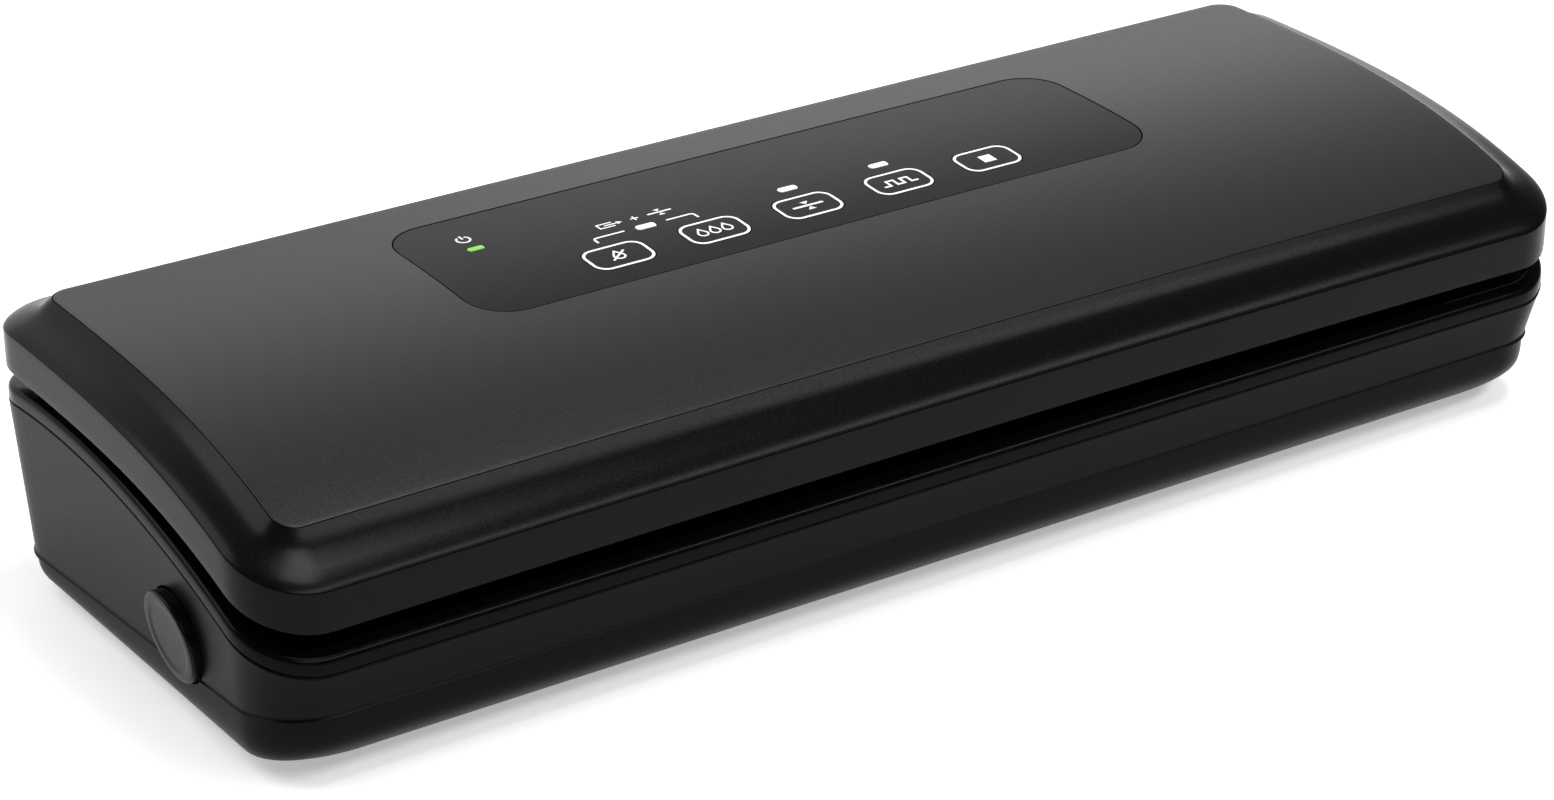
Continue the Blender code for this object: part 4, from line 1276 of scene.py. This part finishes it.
@dataclass
class Fixings:
    """Screws and feet, set on points by Geometry Nodes."""

    head_radius: float = 2.9
    head_height: float = 1.5
    shank_radius: float = 1.3
    shank_length: float = 6.4
    recess_reach: float = 1.7
    recess_half: float = 0.32
    foot_radius: float = 7.0
    foot_height: float = 1.7

    def scattered(self, part: bpy.types.Mesh, spots: Sequence[Sequence[float]], size: float) -> bpy.types.Mesh:
        """Set copies of a part on points.

        Args:
            part: Mesh of the part, with its own origin at the point.
            spots: Where the copies go.
            size: Scale of the copies.

        Returns:
            All copies as one mesh.
        """
        model = bpy.data.objects.new("model", part)
        bpy.context.collection.objects.link(model)
        cloud = bpy.data.meshes.new("spots")
        cloud.from_pydata([tuple(spot) for spot in spots], [], [])
        result = RECIPES.scatter.run(cloud, {"Part": model, "Size": size})
        bpy.data.objects.remove(model)
        return result

    def screws(self, spots: Sequence[Sequence[float]], size: float) -> bpy.types.Mesh:
        """Pan-head screws with a cross recess, heads down.

        Args:
            spots: Where the undersides of the heads go.
            size: Scale of the screws.

        Returns:
            All screws as one mesh.
        """
        profile = rounded([(0.0, -self.head_height, 0), (1.9, -self.head_height, 1.2),
                           (self.head_radius, -0.6, 0.8), (self.head_radius, 0, 0.1), (self.shank_radius, 0, 0),
                           (self.shank_radius, self.shank_length, 0), (0.0, self.shank_length, 0)], 4)
        head = Solid().turned(profile, (0, 0, 0), "Z", 32).mesh()
        for along, across in ((self.recess_reach, self.recess_half), (self.recess_half, self.recess_reach)):
            cross = Solid().prism([(-along, -across), (along, -across), (along, across), (-along, across)],
                                  -self.head_height - 1, -self.head_height + 0.9)
            head = cut(head, cross.mesh())
        return self.scattered(head, spots, size)

    def feet(self, spots: Sequence[Sequence[float]]) -> bpy.types.Mesh:
        """Rubber feet with a rounded tread and a shallow dimple.

        Args:
            spots: Where their treads go.

        Returns:
            All feet as one mesh.
        """
        profile = rounded([(0.0, 0.5, 0), (3.4, 0.5, 0.4), (4.0, 0.0, 0.4), (6.5, 0.0, 0.4),
                           (self.foot_radius, 0.9, 0.5), (self.foot_radius, self.foot_height, 0.2),
                           (0.0, self.foot_height, 0)], 4)
        return self.scattered(Solid().turned(profile, (0, 0, 0), "Z", 48).mesh(), spots, 1.0)


# ---------------------------------------------------------------- base


@dataclass
class Base:
    """Lower casing: polished deck and rim, tub, tray, sealing bar, nozzle, feet and inlet."""

    outline: Outline = BODY
    parting: float = 4.1
    light_inset: float = 2.4
    light_front: float = 18.3
    light_fall: float = 9.7
    floor: float = 2.0
    floor_inset: float = 16.0
    fullness: float = 0.55
    front_rise: float = 3.2
    corner: float = 17.0
    inner_corner: float = 15.0
    wall: float = 2.4
    inner_inset: float = 7.5
    inner_floor: float = 5.0
    bead: float = 0.32
    well: Outline = Outline(-152, 152, -39, -11, 8, 8, 60, 6)
    well_wall: float = 2.0
    well_depth: float = 19.0
    deck_drop: float = 2.5
    deck_underside: float = 5.0
    nozzle: Flat = (157.5, -14.0)
    hook_slots: tuple[float, float, float, float] = (174.3, 183.4, -32.0, -18.5)
    button: Flat = (-24.5, 23.8)
    button_radius: float = 11.2
    inlet: tuple[float, float, float, float] = (129.2, 150.8, 20.2, 33.8)
    inlet_face: float = 67.8
    inlet_back: float = 46.0
    cavity_back: float = 52.0
    cavity_half: Flat = (8.6, 4.6)
    pin_offset: float = 4.3
    pin_radius: float = 1.2
    tray: Outline = Outline(-149.4, 149.4, -36.4, -13.6, 5.4, 8, 60, 6)
    tray_sheet: float = 1.4
    sealing_line: float = -52.0
    ear: tuple[float, float, float] = (2.0, 3.4, 5.5)
    screw_spots: Flat = (160.0, 44.0)
    foot_spots: Flat = (140.0, 41.0)

    def light_line(self, x: float, y: float) -> float:
        """Height of the fine moulded bead, which falls to the rear."""
        return self.light_front - self.light_fall * (y + 70) / 140

    def build_deck(self) -> None:
        """Rim, deck, tray well, openings and hinge ears."""
        drop = -self.deck_drop
        rim = rounded([(6.0, drop, 0), (4.7, drop, 0.5), (3.7, 0.0, 0.9), (0.0, 0.0, 1.5), (0.0, -3.7, 0.15),
                       (3.6, -3.7, 0.1), (3.6, -self.deck_underside, 0)], 6)
        solid = Solid().loft([lift(self.outline.points(inset), z) for inset, z in rim])
        well, wall = self.well, self.well_wall
        slots = []
        x_low, x_high, y_low, y_high = self.hook_slots
        for side in (-1, 1):
            low, high = sorted((side * x_low, side * x_high))
            slots.append(Outline(low, high, y_low, y_high, 1.0, 3, 3, 4).points())
        port = arc(*self.nozzle, 3.3, 0.0, 1.0, 24)[:-1]
        mouth = well.points(wall - 0.6)
        solid.region(self.outline.points(6.0), [mouth, port, *slots], drop, 7.0)
        solid.region(self.outline.points(3.6), [well.points(), port, *slots], -self.deck_underside, 12.0)
        for loop in (port, *slots):
            solid.loft([lift(loop, drop), lift(loop, -self.deck_underside)])
        bottom = wall - self.well_depth
        pocket = [(wall - 0.6, drop, 0), (wall, drop, 0.6), (wall, bottom, 1.5), (wall + 3, bottom, 0)]
        solid.loft([lift(well.points(inset), z) for inset, z in rounded(pocket, 5)])
        solid.cap(well, well.points(wall + 3), bottom, 6)
        solid.loft([lift(well.points(), -self.deck_underside), lift(well.points(), -self.well_depth)])
        solid.cap(well, well.points(), -self.well_depth, 6)
        mesh = RIM_TOP.bend(solid)
        ears = Solid()
        x, y, z = HINGE
        foot = RIM_TOP.at(x, y) - 4
        half, reach, toe = self.ear
        face = [(y + reach, foot), *arc(y, z, reach, 0.0, 0.5, 16), (y - toe, foot)]
        for side in (-1, 1):
            ears.block(*([Vector((side * x + step, a, b)) for a, b in face] for step in (-half, half)))
        make_piece("polished_deck", gathered(mesh, ears.mesh()), "deck_plastic", "base", ["base_deck"])

    def tub_loop(self, outer_inset: float, floor: float, share: float, drop: float, radius: float,
                 rise: float = 0.0) -> list[Vector]:
        """One level of the tub's rounded lower part.

        Args:
            outer_inset: Inset at the top of the rounded part.
            floor: Height of the flat bottom.
            share: 0 at the moulded bead and 1 at the bottom.
            drop: How far below the step the rounded part starts.
            radius: Corner radius.
            rise: How much rounder the long sides are.

        Returns:
            Points of the level.
        """
        inward = 1 - max(cos(pi / 2 * share), 0) ** self.fullness
        down = 1 - sin(pi / 2 * share) ** self.fullness
        inset = outer_inset + (self.floor_inset - outer_inset) * inward

        def height(x: float, y: float) -> float:
            """Level of this loop, a little higher along the front and the back."""
            facing = min(max((abs(y) - (70 - self.corner - inset)) / self.corner, 0), 1)
            return floor + (self.light_line(x, y) - drop - floor) * down + rise * facing ** 2 * sin(pi * share)
        return lift(self.outline.points(inset, radius), height)

    def build_tub(self) -> None:
        """Tub with its moulded bead, button holes, inlet opening and screw recesses."""
        def top(x: float, y: float) -> float:
            """Upper edge, at the joint with the deck."""
            return RIM_TOP.at(x, y) - self.parting

        def wall(share: float) -> Callable[[float, float], float]:
            """Level at a share of the wall between the step and the upper edge."""
            return lambda x, y: self.light_line(x, y) + (top(x, y) - self.light_line(x, y)) * share

        steps, corner, inner_corner = 14, self.corner, self.inner_corner
        shares = [(1 - cos(pi * step / steps)) / 2 for step in range(steps, -1, -1)]
        loops = [self.tub_loop(self.light_inset + 0.3, self.floor, share, 0.6, corner, self.front_rise)
                 for share in shares]
        for out, up in ((1.0, -0.32), (1.0, -0.05), (0.0, 0.35)):
            loops.append(lift(self.outline.points(self.light_inset - self.bead * out, corner),
                              lambda x, y, up=up: self.light_line(x, y) + up))
        for share in (0.1, 0.25, 0.4, 0.6, 0.8):
            loops.append(lift(self.outline.points(self.light_inset * (1 - share), corner), wall(share)))
        for inset, back in ((0.0, 0.35), (0.08, 0.12), (0.35, 0.0)):
            loops.append(lift(self.outline.points(inset, corner), lambda x, y, back=back: top(x, y) - back))
        loops.append(lift(self.outline.points(self.wall, inner_corner), top))
        inner = [self.tub_loop(self.inner_inset, self.inner_floor, step / 6, 0.0, inner_corner)
                 for step in range(7)]
        solid = Solid().loft(loops + inner)
        flat = self.outline.shrunk(self.floor_inset)
        solid.cap(flat, self.outline.points(self.floor_inset, corner), self.floor, 5)
        solid.cap(flat, self.outline.points(self.floor_inset, inner_corner), self.inner_floor, 5)
        mesh = solid.mesh()
        y, z = self.button
        cutters = Solid()
        for side in (-1, 1):
            radius, start, end = self.button_radius + 0.5, 178, 196
            hole = [(0.0, start), (radius, start), (radius, end), (0.0, end)]
            cutters.turned([(r, side * d) for r, d in hole], (0, y, z), "X", 72)
            for front in (-1, 1):
                recess = [(0.0, -1), (4.1, -1), (4.1, 1.8), (3.7, 2.4), (3.7, 3.7), (0.0, 3.7)]
                cutters.turned(recess, (side * self.screw_spots[0], front * self.screw_spots[1], 0), "Z", 36)
        x_low, x_high, z_low, z_high = self.inlet
        opening = Outline(x_low - 0.3, x_high + 0.3, z_low - 0.3, z_high + 0.3, 1.4, 6, 4, 3)
        cutters.block(*([Vector((a, depth, b)) for a, b in opening.points()] for depth in (60, 75)))
        mesh = cut(mesh, cutters.mesh())
        make_piece("tub", mesh, "base_plastic", "base", ["base_housing"], sharp=20)

    def build_tray(self) -> None:
        """Lift-out drip tray with a rolled lip."""
        tray, sheet = self.tray, self.tray_sheet
        top, bottom = -self.deck_drop - 0.3, self.well_wall - self.well_depth + 0.4
        section = rounded([(4.0, bottom, 0), (0.8, bottom, 1.5), (0.0, top, 0.4), (sheet, top, 0.4),
                           (1.7, bottom + sheet, 2.2), (5.0, bottom + sheet, 0)], 6)
        solid = Solid().loft([lift(tray.points(inset), z) for inset, z in section])
        solid.cap(tray, tray.points(4.0), bottom, 5).cap(tray, tray.points(5.0), bottom + sheet, 5)
        make_piece("tray", RIM_TOP.bend(solid), "tray_plastic", "base", ["drip_tray"])

    def build_bar(self) -> None:
        """Sealing bar: carrier, hot strip and the cloth over it."""
        # Piece, slot, node, half length, half width, lower and upper level, edge radius
        rows = (("bar_carrier", "bakelite", "heater_bar", 160.0, 3.5, -2.2, 1.2, 0.5),
                ("hot_strip", "steel", "heating_strip", 156.0, 1.2, 1.5, 2.0, 0.1),
                ("cloth_cover", "sealing_cloth", "sealing_tape", 157.0, 2.6, 2.3, 2.7, 0.15))
        for name, slot, node, half_length, half_width, low, high, soft in rows:
            bar = Outline(-half_length, half_length, self.sealing_line - half_width,
                          self.sealing_line + half_width, soft, 3, 70, 2)
            solid = Solid().tablet(bar, low, high, soft, 0.9, 2, 0.1)
            make_piece(name, RIM_TOP.bend(solid), slot, "base", [node])

    def build_nozzle(self) -> None:
        """Suction nozzle with a rounded collar."""
        top = RIM_TOP.at(*self.nozzle) - 1.5
        bore, stem, collar, bottom = 1.5, 3.0, 4.2, 28
        profile = rounded([(bore, bottom, 0), (stem, bottom, 0), (stem, top + 0.3, 0), (collar, top + 0.3, 0.2),
                           (collar, top + 1.4, 0.5), (bore, top + 1.4, 0.5), (bore, bottom, 0)], 4)
        solid = Solid().turned(profile, (*self.nozzle, 0), "Z", 36)
        make_piece("nozzle", solid.mesh(), "liner_plastic", "base", ["suction_nozzle"])

    def build_inlet(self) -> None:
        """Two-pole appliance inlet with a soft-edged shroud."""
        x_low, x_high, z_low, z_high = self.inlet
        block = Outline(x_low, x_high, z_low, z_high, 1.2, 6, 4, 3)
        middle_x, middle_z = (x_low + x_high) / 2, (z_low + z_high) / 2
        wide, high = self.cavity_half
        cavity = Outline(middle_x - wide, middle_x + wide, middle_z - high, middle_z + high, 4.4, 6, 4, 3)
        face, back, cavity_back = self.inlet_face, self.inlet_back, self.cavity_back
        outside = rounded([(0.0, back, 0), (0.0, face, 0.4), (0.8, face, 0)], 4)
        within = rounded([(-0.5, face, 0), (0.0, face, 0.3), (0.0, cavity_back, 0)], 4)
        loops = [(block.points(inset), depth) for inset, depth in outside]
        loops += [(cavity.points(inset), depth) for inset, depth in within]
        solid = Solid().loft([[Vector((a, depth, b)) for a, b in loop] for loop, depth in loops])
        for outline, depth in ((block, back), (cavity, cavity_back)):
            cap = Solid().cap(outline, outline.points(), depth, 2)
            cap.mapped(lambda p: Vector((p.x, p.z, p.y)))
            solid.bm.from_mesh(cap.mesh())
        make_piece("inlet_shroud", solid.mesh(), "liner_plastic", "base", ["mains_inlet"])
        pins = Solid()
        root, tip, radius = cavity_back - 0.1, 63, self.pin_radius
        profile = rounded([(0.0, root, 0), (radius, root, 0), (radius, tip, 0.6), (0.0, tip, 0)], 4)
        for side in (-1, 1):
            pins.turned(profile, (middle_x + side * self.pin_offset, 0, middle_z), "Y", 20)
        make_piece("inlet_pins", pins.mesh(), "steel", "base")

    def build(self) -> None:
        """Make the whole base."""
        self.build_deck()
        self.build_tub()
        self.build_tray()
        self.build_bar()
        self.build_nozzle()
        self.build_inlet()
        fixings = Fixings()
        corners = ((-1, -1), (1, -1), (1, 1), (-1, 1))
        x, y = self.screw_spots
        spots = [(x * a, y * b, self.floor + 0.9) for a, b in corners]
        make_piece("base_screws", fixings.screws(spots, 1.13), "steel", "base",
                   [f"base_screw_{number}" for number in range(1, 5)])
        x, y = self.foot_spots
        make_piece("feet", fixings.feet([(x * a, y * b, 0) for a, b in corners]), "rubber", "base",
                   [f"foot_{number}" for number in range(1, 5)])


# ---------------------------------------------------------------- latches and works


@dataclass
class Latch:
    """Release button and return spring of one end; its lever is not drawn here."""

    side: int
    name: str
    y: float = -24.5
    z: float = 23.8
    face: float = 190.9
    radius: float = 11.2
    slant: float = 0.16
    collar: float = 180.9
    flange: float = 179.4
    flange_radius: float = 12.8
    stem_end: float = 168.7
    stem_radius: float = 3.0
    spring_radius: float = 4.6
    spring_wire: float = 0.35
    spring_start: float = 173.65
    spring_length: float = 2.1
    spring_turns: float = 2.0

    def build_button(self) -> None:
        """Button with a rounded rim and a faintly dished face, slanted like the wall."""
        profile = rounded([(0.0, self.stem_end, 0), (self.stem_radius, self.stem_end, 0.3),
                           (self.stem_radius, self.flange, 0), (self.flange_radius, self.flange, 0.1),
                           (self.flange_radius, self.collar, 0.1), (self.radius, self.collar, 0),
                           (self.radius, self.collar + 1.2, 0), (self.radius, self.face, 0.9),
                           (self.radius - 2.2, self.face, 0.4), (self.radius - 3.4, self.face - 0.22, 0.8),
                           (0.0, self.face - 0.3, 0)], 6)
        solid = Solid().turned(profile, (0, self.y, self.z), "X", 72)

        def slanted(point: Vector) -> Vector:
            """Lean the face like the wall and turn it to its own end."""
            lean = self.slant * (point.z - self.z) if point.x > self.collar + 1 else 0.0
            return Vector((self.side * (point.x + lean), point.y, point.z))
        solid.mapped(slanted)
        make_piece("button_" + self.name, solid.mesh(), "button_plastic", "release_" + self.name,
                   ["release_button_" + self.name])

    def build_spring(self) -> None:
        """Return spring round the stem."""
        values = {"Radius": self.spring_radius, "Wire": self.spring_wire, "Turns": self.spring_turns,
                  "Length": self.spring_length}
        mesh = RECIPES.coil.run(bpy.data.meshes.new("start"), values)
        lay_down = Matrix(((0, 0, self.side, self.side * self.spring_start), (1, 0, 0, self.y),
                           (0, self.side, 0, self.z), (0, 0, 0, 1)))
        mesh.transform(lay_down)
        make_piece("spring_" + self.name, mesh, "steel", "base", ["button_spring_" + self.name])

    def build(self) -> None:
        """Make the button and the spring."""
        self.build_button()
        self.build_spring()


@dataclass
class Works:
    """What is inside the base: hoses are remade, the rest is dressed in its own finish."""

    hose_radius: float = 2.4
    ease: float = 7.0
    pump_route: tuple[tuple[float, float, float], ...] = (
        (-39.7, 21, 24), (-28, 21, 24), (-14, 22, 38), (30, 22, 38), (42, 20, 18), (51.7, 20, 18))
    nozzle_route: tuple[tuple[float, float, float], ...] = (
        (86.3, 20, 18), (97, 20, 18), (122, 12, 12), (157.5, 4, 12), (157.5, -14, 12), (157.5, -14, 27.7))

    def build_hose(self, name: str, node: str, corners: Sequence[tuple[float, float, float]]) -> None:
        """Run one hose through its corners.

        Args:
            name: Name of the piece.
            node: CAD node that it stands for.
            corners: Points of its path before the bends are eased.
        """
        path = bpy.data.meshes.new("path")
        path.from_pydata(list(corners), [(k, k + 1) for k in range(len(corners) - 1)], [])
        mesh = RECIPES.hose.run(path, {"Radius": self.hose_radius, "Ease": self.ease})
        make_piece(name, mesh, "silicone", "base", [node])

    def build(self) -> None:
        """Make both hoses."""
        self.build_hose("pump_tube", "pump_hose", self.pump_route)
        self.build_hose("nozzle_tube", "nozzle_hose", self.nozzle_route)


def dress_cad_nodes() -> None:
    """Give every CAD node that still shows its procedural material."""
    slots = {row["node"]: row["material_slot"] for row in frame["record"]["subparts"]}
    for name, node in frame["nodes"].items():
        if node.hide_render:
            continue
        slot = slots[name]
        for place in node.material_slots:
            place.material = PALETTE.slot(slot)
        LOG.info("%s: CAD node in %s", name, slot)


# ---------------------------------------------------------------- studio


@dataclass
class Studio:
    """Pale floor, soft lights and the camera."""

    camera_place: tuple[float, float, float] = (-0.52633, -0.76238, 0.46279)
    camera_right: tuple[float, float, float] = (0.8285, -0.5600, 0.0)
    camera_up: tuple[float, float, float] = (0.24072, 0.35614, 0.90289)
    lens: float = 94.97
    sensor: float = 36.0
    floor_half: float = 8.0
    floor_colour: str = "f0f0f0"
    floor_glow: float = 0.42
    sky_strength: float = 1.3
    # The sky's brightness steps up along this direction
    sky_way: tuple[float, float, float] = (0.0, 1.0, -0.6)
    sky_range: Flat = (-1.2, 0.8)
    sky_steps: tuple[Flat, ...] = ((0.0, 0.08), (0.35, 0.08), (0.5, 0.13), (0.6, 0.26), (0.7, 0.6), (0.785, 0.75),
                                   (0.85, 0.92), (1.0, 1.0))
    sun_way: tuple[float, float, float] = (-0.45, 0.45, 0.8)
    sun_strength: float = 1.1
    sun_spread: float = 0.6
    # Each panel's name, middle in metres, width and height in metres, and watts
    panels: tuple[tuple[str, tuple[float, float, float], Flat, float], ...] = (
        ("top_strip", (0.3, -0.2, 1.6), (0.9, 0.4), 14.0),
        ("front_strip", (0.5, -1.25, 1.5), (2.2, 0.35), 20.0),
        ("back_panel", (1.5, 1.6, 0.45), (1.3, 0.6), 2.0))

    def build_camera(self) -> None:
        """Camera on the axes given."""
        data = bpy.data.cameras.new("camera")
        data.lens, data.sensor_width, data.clip_end = self.lens, self.sensor, 50
        camera = bpy.data.objects.new("camera", data)
        right, up = Vector(self.camera_right), Vector(self.camera_up)
        back = right.cross(up)
        turn = Matrix((right, up, back)).transposed().to_4x4()
        camera.matrix_world = Matrix.Translation(self.camera_place) @ turn
        bpy.context.collection.objects.link(camera)
        bpy.context.scene.camera = camera

    def build_floor(self) -> None:
        """Wide pale floor."""
        half = self.floor_half
        mesh = bpy.data.meshes.new("floor")
        mesh.from_pydata([(-half, -half, 0), (half, -half, 0), (half, half, 0), (-half, half, 0)], [],
                         [(0, 1, 2, 3)])
        material = bpy.data.materials.new("pale_floor")
        material.use_nodes = True
        tree = material.node_tree
        tree.nodes.clear()
        paper = add_node(tree, "ShaderNodeBsdfDiffuse", {"Color": linear(self.floor_colour)})
        glow = add_node(tree, "ShaderNodeEmission", {"Strength": self.floor_glow})
        both = add_node(tree, "ShaderNodeAddShader", {0: paper.outputs[0], 1: glow.outputs[0]})
        add_node(tree, "ShaderNodeOutputMaterial", {"Surface": both.outputs[0]})
        mesh.materials.append(material)
        floor = bpy.data.objects.new("floor", mesh)
        bpy.context.collection.objects.link(floor)

    def add_panel(self, name: str, place: Sequence[float], size: Flat, power: float) -> None:
        """Add one soft light panel that faces the object.

        Args:
            name: Name of the light.
            place: Its middle, in metres.
            size: Width and height, in metres.
            power: Its power in watts.
        """
        data = bpy.data.lights.new(name, "AREA")
        data.shape, data.size, data.size_y, data.energy = "RECTANGLE", size[0], size[1], power
        lamp = bpy.data.objects.new(name, data)
        lamp.location = place
        lamp.rotation_euler = (Vector((0, 0, 0.04)) - Vector(place)).to_track_quat("-Z", "Y").to_euler()
        bpy.context.collection.objects.link(lamp)

    def build_lights(self) -> None:
        """Panels, a broad sun, and a sky that is brightest near the rear horizon."""
        for panel in self.panels:
            self.add_panel(*panel)
        data = bpy.data.lights.new("sun", "SUN")
        data.energy, data.angle = self.sun_strength, self.sun_spread
        sun = bpy.data.objects.new("sun", data)
        sun.rotation_euler = Vector(self.sun_way).to_track_quat("Z", "Y").to_euler()
        bpy.context.collection.objects.link(sun)
        world = bpy.data.worlds.new("studio_sky")
        world.use_nodes = True
        tree = world.node_tree
        tree.nodes.clear()
        way = add_node(tree, "ShaderNodeTexCoord").outputs["Generated"]
        toward = add_node(tree, "ShaderNodeVectorMath", {0: way, 1: self.sky_way}, operation="DOT_PRODUCT")
        low, high = self.sky_range
        share = add_node(tree, "ShaderNodeMapRange", {"Value": toward.outputs["Value"], "From Min": low,
                                                      "From Max": high})
        ramp = add_node(tree, "ShaderNodeValToRGB", {0: share.outputs[0]})
        stops = ramp.color_ramp.elements
        stops[0].position, stops[-1].position = self.sky_steps[0][0], self.sky_steps[-1][0]
        for place, _ in self.sky_steps[1:-1]:
            stops.new(place)
        for stop, (_, level) in zip(stops, self.sky_steps):
            stop.color = (level, level, level, 1)
        sky = add_node(tree, "ShaderNodeBackground", {"Color": ramp.outputs[0], "Strength": self.sky_strength})
        add_node(tree, "ShaderNodeOutputWorld", {"Surface": sky.outputs[0]})
        bpy.context.scene.world = world

    def build(self) -> None:
        """Make the studio."""
        self.build_camera()
        self.build_floor()
        self.build_lights()
        bpy.context.scene.view_settings.view_transform = "Standard"


def main() -> None:
    """Build the pieces in order, then the studio."""
    logging.basicConfig(level=logging.INFO, format="%(message)s")
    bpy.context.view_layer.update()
    Lid().build()
    Base().build()
    for side, name in ((-1, "left"), (1, "right")):
        Latch(side, name).build()
    Works().build()
    dress_cad_nodes()
    Studio().build()


if __name__ == "__main__":
    main()
